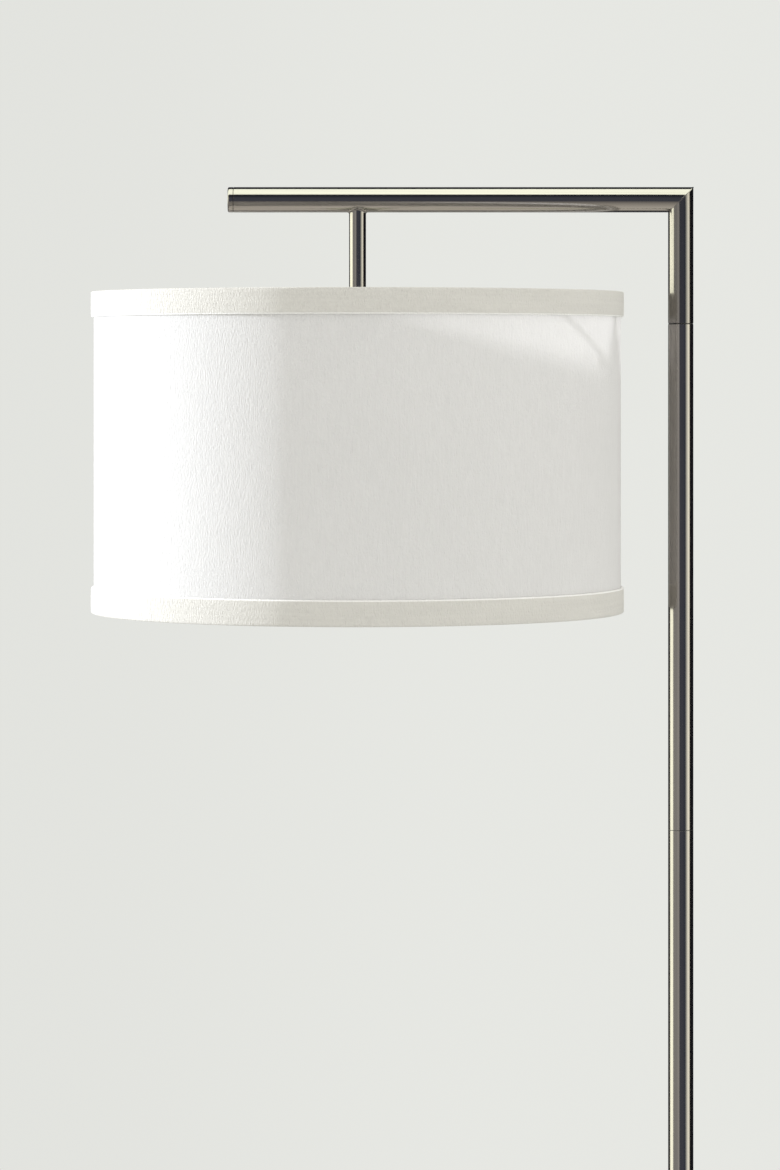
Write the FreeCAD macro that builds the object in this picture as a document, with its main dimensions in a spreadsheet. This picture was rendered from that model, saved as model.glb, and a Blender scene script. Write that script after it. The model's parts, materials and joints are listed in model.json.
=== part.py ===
"""A pharmacy floor lamp: a round weighted base, a pole of four screwed sections, and an L-shaped arm
that swivels on the pole and carries a downward socket, its bulb and a drum shade on a drop stem.

Millimetres. The origin is on the floor under the centre of the base, +Z is up, and the arm reaches
towards -X. Every size comes from the sheet "Sizes"; a formula such as "tube_radius * 2" names its cells.
"""
import FreeCAD, Part
import math
import os
import re
import Sketcher

# The driving dimensions, in millimetres and degrees.
DIMENSIONS = {
    # how far a cut reaches past what it cuts
    "overcut": 1.0,
    # base
    "base_radius": 140.0,
    "base_height": 28.0,
    "base_edge_round": 6.0,
    "cover_wall": 1.2,
    "felt_radius": 137.0,
    "felt_thickness": 2.0,
    "weight_radius": 130.0,
    "weight_web": 12.8,
    "weight_foot_width": 12.0,
    "weight_recess_radius": 22.0,
    "weight_recess_depth": 5.8,
    "washer_radius": 16.0,
    "washer_thickness": 1.5,
    "nut_corner_radius": 11.0,
    "nut_thickness": 5.5,
    "stud_below_nut": 0.5,
    "stud_below_insert": 2.0,
    "collar_radius": 17.0,
    "collar_height": 8.0,
    # cord inlet and inner lead
    "inlet_height": 8.0,
    "inlet_bore_radius": 3.2,
    "inlet_body_radius": 4.2,
    "inlet_lip_radius": 5.0,
    "inlet_flange_radius": 5.5,
    "inlet_flange_width": 1.5,
    "inlet_depth": 10.0,
    "inlet_groove_play": 0.2,
    "lead_radius": 2.3,
    "lead_bend": 8.0,
    "channel_width": 8.0,
    "channel_height": 12.0,
    # pole and arm
    "pole_offset": 75.0,
    "tube_radius": 9.5,
    "tube_wall": 1.0,
    "tube_edge": 0.25,
    "section_length": 380.0,
    "stud_radius": 6.0,
    "stud_bore": 4.0,
    "insert_length": 20.0,
    "stud_grip": 14.0,
    "stud_reach": 18.0,
    "elbow_height": 103.0,
    "arm_length": 350.0,
    "end_cap_width": 4.2,
    "end_cap_round": 0.9,
    "end_cap_plug": 12.0,
    # swivel
    "swivel_washer_thickness": 0.5,
    "swivel_washer_radius": 9.1,
    "swivel_play": 0.05,
    "swivel_washer_play": 0.1,
    "bush_length": 22.0,
    "stop_height": 3.0,
    "stop_gap": 0.5,
    "stop_width": 1.2,
    "collar_thickness": 4.5,
    "collar_play": 0.3,
    # drop stem and socket; a drop is measured down from the top of the arm
    "stem_distance": 243.0,
    "stem_radius": 6.35,
    "stem_wall": 1.0,
    "stem_drop": 93.0,
    "lead_stem_bend": 6.0,
    "cap_top_drop": 82.0,
    "cap_drop": 97.0,
    "cap_neck_radius": 9.6,
    "cap_neck_height": 4.0,
    "cap_slope_height": 4.0,
    "locknut_thickness": 4.0,
    "shell_radius": 18.0,
    "shell_wall": 1.0,
    "flange_drop": 109.0,
    "flange_radius": 23.5,
    "flange_thickness": 2.0,
    "skirt_radius": 19.7,
    "skirt_drop": 150.0,
    "core_top_drop": 98.0,
    "core_drop": 115.0,
    "core_play": 0.1,
    "switch_drop": 103.0,
    "shaft_radius": 2.0,
    "shaft_play": 0.08,
    "shaft_inner_end": 10.5,
    "knob_start": 27.0,
    "knob_radius": 5.0,
    "knob_neck_length": 3.0,
    "knob_neck_inset": 1.0,
    "knob_round": 1.0,
    "knob_length": 14.0,
    "knob_socket": 9.0,
    "screw_shell_radius": 14.2,
    "screw_shell_wall": 0.6,
    "screw_shell_drop": 146.0,
    "sleeve_radius": 15.8,
    "sleeve_wall": 0.8,
    "sleeve_inset": 1.0,
    "contact_radius": 4.0,
    "contact_thickness": 3.0,
    "contact_bevel": 1.0,
    "contact_gap": 2.0,
    "terminal_spacing": 9.0,
    "terminal_shank_radius": 1.5,
    "terminal_shank_length": 6.0,
    "terminal_head_radius": 3.0,
    "terminal_head_height": 1.8,
    "ring_nut_radius": 25.0,
    "ring_nut_height": 8.0,
    "ring_nut_edge": 0.8,
    # bulb
    "bulb_gap": 0.1,
    "bulb_tip_radius": 4.6,
    "bulb_tip_bevel": 0.5,
    "bulb_tip_thickness": 0.9,
    "bulb_insulator_height": 2.6,
    "bulb_cap_radius": 13.2,
    "bulb_cap_wall": 0.55,
    "bulb_cap_height": 24.5,
    "bulb_cap_taper": 2.2,
    "bulb_radius": 30.0,
    "bulb_wall": 0.8,
    "bulb_centre_drop": 193.0,
    "bulb_neck_height": 47.0,
    "bulb_cone_angle": 23.06,
    "bulb_neck_overlap": 8.0,
    "mount_drop": 26.0,
    "mount_radius": 2.0,
    "mount_stem_height": 22.0,
    "mount_flare_height": 8.0,
    "mount_rim_height": 1.0,
    "mount_play": 0.2,
    "filament_drop": 24.0,
    "filament_radius": 0.9,
    "filament_length": 34.0,
    "filament_spread": 6.0,
    # shade
    "shade_top_drop": 79.0,
    "shade_height": 240.0,
    "fabric_radius": 198.0,
    "fabric_thickness": 1.0,
    "liner_thickness": 0.8,
    "trim_radius": 200.0,
    "trim_height": 19.0,
    "trim_lip": 0.8,
    "trim_lip_radius": 192.6,
    "ring_radius": 194.4,
    "ring_wire_radius": 1.6,
    "ring_play": 0.2,
    "spider_recess": 33.0,
    "spider_inset": 1.0,
    "spider_short": 0.5,
    "spider_wire_radius": 2.0,
    "spider_wire_drop": 4.4,
    "fitter_bore": 20.0,
    "fitter_radius": 26.0,
    "fitter_thickness": 2.0,
}
SECTIONS = 4
SPIDER_ARMS = 3
SPIDER_START_ANGLE = -49
HEXAGON = range(0, 360, 60)
CLOSE = 1e-4

VECTOR = FreeCAD.Vector
UP = VECTOR(0, 0, 1)
DOCUMENT = FreeCAD.newDocument("pharmacy_floor_lamp")
SUB_PARTS = []

# Heights above the floor, as formulas of the cells.
POLE_TOP = f"(base_height + {SECTIONS} * section_length)"
LAMP_TOP = f"({POLE_TOP} + elbow_height)"
STEM_X = "(pole_offset - stem_distance)"
SHADE_TOP = f"({LAMP_TOP} - shade_top_drop)"
SHADE_BOTTOM = f"({SHADE_TOP} - shade_height)"
TUBE_BORE = "(tube_radius - tube_wall)"
STEM_BORE = "(stem_radius - stem_wall)"


def make_sheet():
    """The sheet of driving dimensions, one alias for each."""
    sheet = DOCUMENT.addObject("Spreadsheet::Sheet", "Sizes")
    for row, (alias, amount) in enumerate(DIMENSIONS.items(), start=1):
        sheet.set(f"A{row}", alias)
        sheet.set(f"B{row}", str(amount))
        sheet.setAlias(f"B{row}", alias)
    DOCUMENT.recompute()
    return sheet


SHEET = make_sheet()


def expression(text):
    """A formula of cells as an expression; a word followed by a bracket is a function."""
    return re.sub(r"\b[a-z]\w*\b(?!\()", r"Sizes.\g<0>", text)


def value(text):
    """The present value of a formula of cells."""
    return float(SHEET.evalExpression(expression(text)))


def bind(item, field, text):
    """Drives a property of an object from a formula of cells."""
    item.setExpression(field, expression(text))


def drop(depth):
    """The height above the floor of a point that far below the top of the arm."""
    return f"({LAMP_TOP} - ({depth}))"


# ---- sketches and features ----------------------------------------------------------------------


def new_body(label):
    body = DOCUMENT.addObject("PartDesign::Body", label)
    body.Label = label
    SUB_PARTS.append(body)
    return body


def new_sketch(body, plane_role):
    """A sketch on one of the body's own origin planes."""
    plane = next(item for item in body.Origin.OriginFeatures if item.Role == plane_role)
    sketch = body.newObject("Sketcher::SketchObject", body.Label + "_sketch")
    sketch.AttachmentSupport = (plane, "")
    sketch.MapMode = "FlatFace"
    return sketch


def fix_point(sketch, geometry, end, pair):
    """Binds a point of a sketch to a pair of formulas; a coordinate of 0 puts it on the axis."""
    for kind, axis, text in (("DistanceX", -2, pair[0]), ("DistanceY", -1, pair[1])):
        amount = value(text)
        if abs(amount) < CLOSE:
            sketch.addConstraint(Sketcher.Constraint("PointOnObject", geometry, end, axis))
        else:
            index = sketch.addConstraint(Sketcher.Constraint(kind, -1, 1, geometry, end, amount))
            bind(sketch, f"Constraints[{index}]", text)


def draw_outline(sketch, points):
    """A closed outline through points, each a pair of formulas."""
    places = [VECTOR(value(across), value(along), 0) for across, along in points]
    first = sketch.GeometryCount
    for start, end in zip(places, places[1:] + places[:1]):
        sketch.addGeometry(Part.LineSegment(start, end), False)
    for number in range(len(points)):
        following = first + (number + 1) % len(points)
        sketch.addConstraint(Sketcher.Constraint("Coincident", first + number, 2, following, 1))
    for number, pair in enumerate(points):
        fix_point(sketch, first + number, 1, pair)


def draw_circle(sketch, radius, centre=("0", "0")):
    """A circle of a given radius about a given point, all formulas."""
    middle = VECTOR(value(centre[0]), value(centre[1]), 0)
    circle = sketch.addGeometry(Part.Circle(middle, UP, value(radius)), False)
    fix_point(sketch, circle, 3, centre)
    index = sketch.addConstraint(Sketcher.Constraint("Radius", circle, value(radius)))
    bind(sketch, f"Constraints[{index}]", radius)


def draw_route(sketch, corners, bends):
    """An open path of straight runs along the sketch's axes, with an arc of a given radius at each
    corner between them."""
    places = [VECTOR(value(across), value(along), 0) for across, along in corners]
    ends = []
    for number in range(len(corners) - 1):
        way = (places[number + 1] - places[number]).normalize()
        start, finish = corners[number], corners[number + 1]
        if number > 0:
            start = shifted(start, way, bends[number - 1])
        if number < len(bends):
            finish = shifted(finish, way * -1, bends[number])
        ends.append((start, finish, way))
    for start, finish, way in ends:
        line = Part.LineSegment(point_at(start), point_at(finish))
        index = sketch.addGeometry(line, False)
        fix_point(sketch, index, 1, start)
        fix_point(sketch, index, 2, finish)
    for number, radius in enumerate(bends):
        way_in, way_out = ends[number][2], ends[number + 1][2]
        centre = point_at(ends[number][1]) + way_out * value(radius)
        turns_left = way_in.cross(way_out).z > 0
        spokes = [way_out * -1, way_in]
        if not turns_left:
            spokes.reverse()
        begin, finish = (math.atan2(spoke.y, spoke.x) for spoke in spokes)
        arc = Part.ArcOfCircle(Part.Circle(centre, UP, value(radius)), begin, finish)
        index = sketch.addGeometry(arc, False)
        arc_start, arc_end = (1, 2) if turns_left else (2, 1)
        sketch.addConstraint(Sketcher.Constraint("Tangent", number, 2, index, arc_start))
        sketch.addConstraint(Sketcher.Constraint("Coincident", index, arc_end, number + 1, 1))


def shifted(pair, way, distance):
    """A pair of formulas moved a distance along one of the sketch's axes."""
    return tuple(f"{text} + {round(step)} * ({distance})" for text, step in zip(pair, (way.x, way.y)))


def point_at(pair):
    return VECTOR(value(pair[0]), value(pair[1]), 0)


def place(item, across="0", height="0", depth="0", axis=UP, angle=0):
    """Puts an object's origin at formulas of X, Z and Y, turned by an angle about an axis."""
    spot = VECTOR(value(across), value(depth), value(height))
    item.Placement = FreeCAD.Placement(spot, FreeCAD.Rotation(axis, angle))
    for field, text in (("x", across), ("y", depth), ("z", height)):
        bind(item, "Placement.Base." + field, text)


def turned(label, points, **placement):
    """A piece turned about its own Z axis, from an outline of (radius, height) formulas."""
    body = new_body(label)
    profile = new_sketch(body, "XZ_Plane")
    draw_outline(profile, points)
    turn = body.newObject("PartDesign::Revolution", label + "_turn")
    turn.Profile = profile
    turn.ReferenceAxis = (profile, ["V_Axis"])
    turn.Angle = 360
    place(body, **placement)
    return body


def ring(label, inner, outer, length, **placement):
    """A turned ring or tube standing on its own origin."""
    outline = [(inner, "0"), (outer, "0"), (outer, length), (inner, length)]
    return turned(label, outline, **placement)


def cut(body, plane_role, draw, reach=None, towards_normal=False, foot=None):
    """Cuts away what a drawing covers: to a depth on one side of the plane, or right through.
    foot moves the drawing along the plane's normal."""
    DOCUMENT.recompute()
    before = body.Shape.Volume
    sketch = new_sketch(body, plane_role)
    if foot is not None:
        sketch.AttachmentOffset = FreeCAD.Placement(VECTOR(0, 0, value(foot)), FreeCAD.Rotation())
        bind(sketch, "AttachmentOffset.Base.z", foot)
    draw(sketch)
    pocket = body.newObject("PartDesign::Pocket", body.Label + "_cut")
    pocket.Profile = sketch
    if reach is None:
        pocket.Type = "ThroughAll"
        pocket.SideType = "Symmetric"
    else:
        pocket.Reversed = towards_normal
        bind(pocket, "Length", reach)
    DOCUMENT.recompute()
    if body.Shape.Volume > before - CLOSE:
        raise ValueError(f"a cut in {body.Label} removes nothing")


def edges_at(body, radius, height):
    """The names of the circular edges of a radius at a height, in the body's own frame."""
    wanted_radius, wanted_height = value(radius), value(height)
    names = []
    for number, edge in enumerate(body.Tip.Shape.Edges, start=1):
        curve = edge.Curve
        if curve.TypeId != "Part::GeomCircle":
            continue
        same_radius = abs(curve.Radius - wanted_radius) < CLOSE
        same_height = abs(curve.Center.z - wanted_height) < CLOSE
        if same_radius and same_height:
            names.append(f"Edge{number}")
    return names


def soften(body, kind, radius, places):
    """Rounds (Fillet) or bevels (Chamfer) the circular edges at places of (radius, height)."""
    DOCUMENT.recompute()
    names = [name for place_radius, height in places for name in edges_at(body, place_radius, height)]
    if not names:
        raise ValueError(f"{body.Label} has no edge to soften")
    base = body.Tip
    feature = body.newObject("PartDesign::" + kind, body.Label + "_edge")
    feature.Base = (base, names)
    bind(feature, "Radius" if kind == "Fillet" else "Size", radius)
    DOCUMENT.recompute()


def swept_lead(label, corners, bends, profile_plane, **placement):
    """A round lead along a route in its own XZ plane, from its origin."""
    body = new_body(label)
    profile = new_sketch(body, profile_plane)
    draw_circle(profile, "lead_radius")
    route = new_sketch(body, "XZ_Plane")
    draw_route(route, corners, bends)
    sweep = body.newObject("PartDesign::AdditivePipe", label + "_sweep")
    sweep.Profile = profile
    sweep.Spine = (route, [])
    place(body, **placement)


def cylinder(name, radius, length, **placement):
    """A plain cylinder for use in a boolean."""
    item = DOCUMENT.addObject("Part::Cylinder", name)
    bind(item, "Radius", radius)
    bind(item, "Height", length)
    place(item, **placement)
    return item


def sub_part(item, label):
    """Names an object that isn't a body and counts it as a sub-part."""
    item.Label = label
    SUB_PARTS.append(item)
    return item


def at_pole(height):
    """The placement of a piece on the pole's axis at a height."""
    return {"across": "pole_offset", "height": height}


def at_stem(depth):
    """The placement of a piece on the stem's axis that far below the top of the arm."""
    return {"across": STEM_X, "height": drop(depth)}


# ---- base ---------------------------------------------------------------------------------------


def stud_hole(sketch):
    draw_circle(sketch, "stud_radius", ("pole_offset", "0"))


def base_cover():
    """The spun cover: a shallow dish, open below, with the stud's hole and the inlet's hole."""
    inner = "(base_radius - cover_wall)"
    height = "(base_height - felt_thickness)"
    under = f"({height} - cover_wall)"
    outline = [("0", under), (inner, under), (inner, "0"), ("base_radius", "0")]
    outline += [("base_radius", height), ("0", height)]
    body = turned("base_cover", outline, height="felt_thickness")
    soften(body, "Fillet", "base_edge_round", [("base_radius", height)])
    soften(body, "Fillet", "base_edge_round - cover_wall", [(inner, under)])
    cut(body, "XY_Plane", stud_hole)
    inlet = ("0", "inlet_height - felt_thickness")
    reach = "base_radius + overcut"
    cut(body, "YZ_Plane", lambda sketch: draw_circle(sketch, "inlet_body_radius", inlet), reach, True)


def base_weight():
    """The cast weight: a web under the cover, a foot ring down to the felt, a recess for the nut."""
    foot = "(weight_radius - weight_foot_width)"
    height = "(base_height - cover_wall - felt_thickness)"
    under = f"({height} - weight_web)"
    outline = [("0", under), (foot, under), (foot, "0"), ("weight_radius", "0")]
    outline += [("weight_radius", height), ("0", height)]
    body = turned("base_weight", outline, height="felt_thickness")
    cut(body, "XY_Plane", stud_hole)
    recess = f"({under} + weight_recess_depth)"
    centre = ("pole_offset", "0")
    cut(body, "XY_Plane", lambda sketch: draw_circle(sketch, "weight_recess_radius", centre), recess, True)
    corners = [("-channel_width / 2", "0"), ("channel_width / 2", "0")]
    corners += [("channel_width / 2", "channel_height"), ("-channel_width / 2", "channel_height")]
    cut(body, "YZ_Plane", lambda sketch: draw_outline(sketch, corners), "weight_radius + overcut", True)


def base_pieces():
    """The felt, the stud with its washer and nut, and the pole's foot collar."""
    turned(
        "base_felt",
        [("0", "0"), ("felt_radius", "0"), ("felt_radius", "felt_thickness"), ("0", "felt_thickness")],
    )
    recess_top = "(base_height - cover_wall - weight_web + weight_recess_depth)"
    nut_bottom = f"({recess_top} - washer_thickness - nut_thickness)"
    stud_bottom = f"({nut_bottom} - stud_below_nut)"
    stud_length = f"base_height + insert_length - stud_below_insert - {stud_bottom}"
    washer_spot = at_pole(f"{recess_top} - washer_thickness")
    ring("base_washer", "stud_radius", "washer_radius", "washer_thickness", **washer_spot)
    hexagon_nut("base_nut", "nut_corner_radius", "stud_radius", "nut_thickness", **at_pole(nut_bottom))
    ring("base_stud", "stud_bore", "stud_radius", stud_length, **at_pole(stud_bottom))
    collar = ring("base_collar", "tube_radius", "collar_radius", "collar_height", **at_pole("base_height"))
    soften(collar, "Fillet", "collar_height / 4", [("collar_radius", "collar_height")])


def hexagon_nut(label, corner_radius, bore, thickness, **placement):
    """A six-sided nut standing on its own origin."""
    body = new_body(label)
    profile = new_sketch(body, "XY_Plane")
    corners = [(f"({corner_radius}) * cos({turn})", f"({corner_radius}) * sin({turn})") for turn in HEXAGON]
    draw_outline(profile, corners)
    draw_circle(profile, bore)
    pad = body.newObject("PartDesign::Pad", label + "_pad")
    pad.Profile = profile
    bind(pad, "Length", thickness)
    place(body, **placement)


def cord_bushing():
    """The flanged bushing in the base's edge that the supply cord comes in through."""
    wall = "(cover_wall + inlet_groove_play)"
    outline = [("inlet_bore_radius", "0"), ("inlet_lip_radius", "0")]
    outline += [("inlet_lip_radius", f"inlet_depth - {wall}"), ("inlet_body_radius", f"inlet_depth - {wall}")]
    outline += [("inlet_body_radius", "inlet_depth"), ("inlet_flange_radius", "inlet_depth")]
    outline += [("inlet_flange_radius", "inlet_depth + inlet_flange_width")]
    outline += [("inlet_bore_radius", "inlet_depth + inlet_flange_width")]
    inner_end = "base_radius - inlet_depth"
    turned("cord_bushing", outline, across=inner_end, height="inlet_height", axis=VECTOR(0, 1, 0), angle=90)


# ---- pole ---------------------------------------------------------------------------------------


def pole_sections():
    """The four tubes, each bevelled a little at both ends, so that a fine seam shows."""
    for number in range(SECTIONS):
        foot = f"base_height + {number} * section_length"
        label = f"pole_section_{number + 1}"
        tube = ring(label, TUBE_BORE, "tube_radius", "section_length", **at_pole(foot))
        soften(tube, "Chamfer", "tube_edge", [("tube_radius", "0"), ("tube_radius", "section_length")])


def pole_screw_joints():
    """A threaded insert in the top of each lower tube and a hollow stud in the foot of the next."""
    ring("pole_foot_insert", "stud_radius", TUBE_BORE, "insert_length", **at_pole("base_height"))
    for number in range(1, SECTIONS):
        seam = f"base_height + {number} * section_length"
        insert_spot = at_pole(f"{seam} - insert_length")
        ring(f"pole_insert_{number}", "stud_radius", TUBE_BORE, "insert_length", **insert_spot)
        shouldered_stud(f"pole_stud_{number}", "stud_reach", f"{seam} - stud_reach")


def shouldered_stud(label, reach, foot):
    """A hollow stud: the narrow end below, and above it the thick end that grips its tube."""
    top = f"({reach} + stud_grip)"
    outline = [("stud_bore", "0"), ("stud_radius", "0"), ("stud_radius", reach), (TUBE_BORE, reach)]
    outline += [(TUBE_BORE, top), ("stud_bore", top)]
    return turned(label, outline, **at_pole(foot))


# ---- swivel -------------------------------------------------------------------------------------

SPIGOT_REACH = "(bush_length + stop_height + stop_gap + collar_thickness + swivel_washer_thickness)"


def swivel_pieces():
    """The bush in the pole's top, the arm's spigot that turns in it, the washer between the tubes,
    and the stop collar: its lug meets the bush's lug after almost half a turn either way."""
    bore = "(stud_radius + swivel_play)"
    bush_foot = f"{POLE_TOP} - bush_length - stop_height"
    bush = ring("swivel_bush", bore, TUBE_BORE, "bush_length + stop_height", **at_pole(bush_foot))
    leave_lug(bush, "stop_height", 1)
    ring(
        "swivel_washer",
        "stud_radius + swivel_washer_play",
        "swivel_washer_radius",
        "swivel_washer_thickness",
        **at_pole(POLE_TOP),
    )
    spigot_foot = f"{POLE_TOP} + swivel_washer_thickness - {SPIGOT_REACH}"
    shouldered_stud("swivel_spigot", SPIGOT_REACH, spigot_foot)
    collar = ring(
        "swivel_stop_collar",
        "stud_radius",
        f"{TUBE_BORE} - collar_play",
        "collar_thickness + stop_height - stop_gap",
        **at_pole(spigot_foot),
    )
    leave_lug(collar, "stop_height - stop_gap", -1, "collar_thickness")


def leave_lug(body, tall, side, foot=None):
    """Cuts a ring away over a height, all but one lug on its +X (side 1) or -X (side -1)."""
    wide, lug = "(tube_radius + overcut)", "(stop_width / 2)"
    near, edge, far = f"{side} * stud_bore", f"{side} * {wide}", f"{-side} * {wide}"
    corners = [(far, f"-{wide}"), (edge, f"-{wide}"), (edge, f"-{lug}"), (near, f"-{lug}")]
    corners += [(near, lug), (edge, lug), (edge, wide), (far, wide)]
    cut(body, "XY_Plane", lambda sketch: draw_outline(sketch, corners), tall, True, foot)


# ---- arm ----------------------------------------------------------------------------------------

HALF_TURN = {"axis": UP, "angle": 180}


def elbow_leg():
    """The arm's short upright leg, mitred at its top; its own +X points along the arm."""
    length = "(elbow_height - swivel_washer_thickness)"
    spot = at_pole(f"{POLE_TOP} + swivel_washer_thickness")
    leg = ring("elbow_leg", TUBE_BORE, "tube_radius", length, **spot, **HALF_TURN)
    soften(leg, "Chamfer", "tube_edge", [("tube_radius", "0")])
    wide = "(tube_radius + overcut)"
    above, below = f"{length} + overcut", f"{length} - 2 * tube_radius - overcut"
    corners = [(f"-{wide}", above), (wide, above), (wide, below)]
    cut(leg, "XZ_Plane", lambda sketch: draw_outline(sketch, corners))


def arm_tube():
    """The level tube, mitred to the leg, with the hole that the lead goes down the stem through."""
    body = new_body("arm_tube")
    profile = new_sketch(body, "YZ_Plane")
    centre = ("0", "tube_radius")
    draw_circle(profile, "tube_radius", centre)
    draw_circle(profile, TUBE_BORE, centre)
    pad = body.newObject("PartDesign::Pad", "arm_tube_pad")
    pad.Profile = profile
    bind(pad, "Length", "arm_length - end_cap_width")
    near, far = "-overcut", "(2 * tube_radius + overcut)"
    cut(body, "XZ_Plane", lambda sketch: draw_outline(sketch, [(near, near), (far, near), (near, far)]))
    hole = ("tube_radius + stem_distance", "0")
    cut(body, "XY_Plane", lambda sketch: draw_circle(sketch, STEM_BORE, hole), "tube_radius", True)
    place(body, across="pole_offset + tube_radius", height=drop("2 * tube_radius"), **HALF_TURN)


def arm_end_cap():
    """The plug that closes the arm's free end."""
    width = "(end_cap_plug + end_cap_width)"
    outline = [("0", "0"), (TUBE_BORE, "0"), (TUBE_BORE, "end_cap_plug"), ("tube_radius", "end_cap_plug")]
    outline += [("tube_radius", width), ("0", width)]
    start = "pole_offset + tube_radius - arm_length + end_cap_width + end_cap_plug"
    cap = turned(
        "arm_end_cap", outline, across=start, height=drop("tube_radius"), axis=VECTOR(0, 1, 0), angle=-90
    )
    soften(cap, "Fillet", "end_cap_round", [("tube_radius", width)])
    soften(cap, "Chamfer", "tube_edge", [("tube_radius", "end_cap_plug")])


def drop_stem():
    """The thin tube from the arm's underside, cut to the arm's round at its top."""
    length = "stem_drop - tube_radius - stem_radius"
    stem = ring("drop_stem", STEM_BORE, "stem_radius", length, **at_stem("stem_drop"))
    arm_axis = ("0", "stem_drop - tube_radius")
    cut(stem, "YZ_Plane", lambda sketch: draw_circle(sketch, "tube_radius", arm_axis))


def inner_leads():
    """The lead inside the tubes: from the inlet up the pole, and from the swivel to the socket."""
    run = "(base_radius - inlet_depth - pole_offset)"
    swept_lead(
        "lead_pole",
        [("0", "0"), (run, "0"), (run, f"{POLE_TOP} - inlet_height")],
        ["lead_bend"],
        "YZ_Plane",
        across="base_radius - inlet_depth",
        height="inlet_height",
        **HALF_TURN,
    )
    level = "(elbow_height - tube_radius)"
    socket_end = "(elbow_height - core_top_drop)"
    swept_lead(
        "lead_arm",
        [("0", "0"), ("0", level), ("stem_distance", level), ("stem_distance", socket_end)],
        ["lead_bend", "lead_stem_bend"],
        "XY_Plane",
        across="pole_offset",
        height=POLE_TOP,
        **HALF_TURN,
    )


# ---- socket -------------------------------------------------------------------------------------


def socket_pieces():
    """The socket's metal cap and locknut, its shell, and the insulated parts inside it."""
    shell_bore = "(shell_radius - shell_wall)"
    height = "(cap_drop - cap_top_drop)"
    neck_foot = f"({height} - cap_neck_height)"
    slope_foot = f"({neck_foot} - cap_slope_height)"
    under_neck, under_slope = f"{neck_foot} - shell_wall", f"{slope_foot} - shell_wall"
    outline = [(shell_bore, "0"), ("shell_radius", "0"), ("shell_radius", slope_foot)]
    outline += [("cap_neck_radius", neck_foot), ("cap_neck_radius", height), ("stem_radius", height)]
    outline += [("stem_radius", under_neck), ("cap_neck_radius - shell_wall / 2", under_neck)]
    outline += [(shell_bore, under_slope)]
    turned("socket_cap", outline, **at_stem("cap_drop"))
    spot = at_stem("cap_top_drop + cap_neck_height + shell_wall + locknut_thickness")
    hexagon_nut("stem_locknut", "cap_neck_radius - shell_wall", "stem_radius", "locknut_thickness", **spot)

    skirt_bore = "(skirt_radius - shell_wall)"
    flange = "(skirt_drop - flange_drop)"
    top = "(skirt_drop - cap_drop)"
    outline = [(skirt_bore, "0"), ("skirt_radius", "0"), ("skirt_radius", f"{flange} - flange_thickness")]
    outline += [("flange_radius", f"{flange} - flange_thickness"), ("flange_radius", flange)]
    step = f"({flange} - flange_thickness / 2)"
    outline += [("shell_radius", flange), ("shell_radius", top), (shell_bore, top)]
    outline += [(shell_bore, step), (skirt_bore, step)]
    shell = turned("socket_shell", outline, **at_stem("skirt_drop"))
    cut_shaft_hole(shell, "skirt_drop - switch_drop")

    step = "(core_drop - flange_drop - flange_thickness / 2)"
    core_top = "(core_drop - core_top_drop)"
    wide, narrow = f"{skirt_bore} - core_play", f"{shell_bore} - core_play"
    outline = [("0", "0"), (wide, "0"), (wide, step), (narrow, step), (narrow, core_top), ("0", core_top)]
    core = turned("socket_core", outline, **at_stem("core_drop"))
    cut_shaft_hole(core, "core_drop - switch_drop")
    for side in (1, -1):
        spot = (f"{side} * terminal_spacing", "0")
        cut(core, "XY_Plane", lambda sketch: draw_circle(sketch, "terminal_shank_radius", spot))

    screw_height = "(screw_shell_drop - core_drop)"
    wall_bore = "(screw_shell_radius - screw_shell_wall)"
    outline = [(wall_bore, "0"), ("screw_shell_radius", "0"), ("screw_shell_radius", screw_height)]
    hole = "contact_radius + contact_gap"
    outline += [(hole, screw_height), (hole, f"{screw_height} - screw_shell_wall")]
    outline += [(wall_bore, f"{screw_height} - screw_shell_wall")]
    turned("screw_shell", outline, **at_stem("screw_shell_drop"))
    sleeve_length = "skirt_drop - core_drop - sleeve_inset"
    sleeve_spot = at_stem("skirt_drop - sleeve_inset")
    ring("socket_sleeve", "sleeve_radius - sleeve_wall", "sleeve_radius", sleeve_length, **sleeve_spot)
    outline = [("0", "0"), ("contact_radius - contact_bevel", "0"), ("contact_radius", "contact_bevel")]
    outline += [("contact_radius", "contact_thickness"), ("0", "contact_thickness")]
    turned("centre_contact", outline, **at_stem("core_drop + contact_thickness"))
    terminal_screws()


def cut_shaft_hole(body, height):
    """A round hole in a piece's -Y side for the switch's shaft."""
    hole = ("0", height)
    reach = "skirt_radius + overcut"
    cut(body, "XZ_Plane", lambda sketch: draw_circle(sketch, "shaft_radius + shaft_play", hole), reach, True)


def terminal_screws():
    """Two screws in the socket's core that clamp the lead's two conductors."""
    shank = ("screw_shank", "terminal_shank_radius", "terminal_shank_length")
    head = ("screw_head", "terminal_head_radius", "terminal_head_height")
    pieces = []
    for side in (1, -1):
        spot = f"{STEM_X} + {side} * terminal_spacing"
        pieces.append(cylinder(*shank, across=spot, height=drop("core_top_drop + terminal_shank_length")))
        pieces.append(cylinder(*head, across=spot, height=drop("core_top_drop")))
    screws = DOCUMENT.addObject("Part::MultiFuse", "terminal_screws")
    screws.Shapes = pieces
    sub_part(screws, "terminal_screws")


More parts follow.
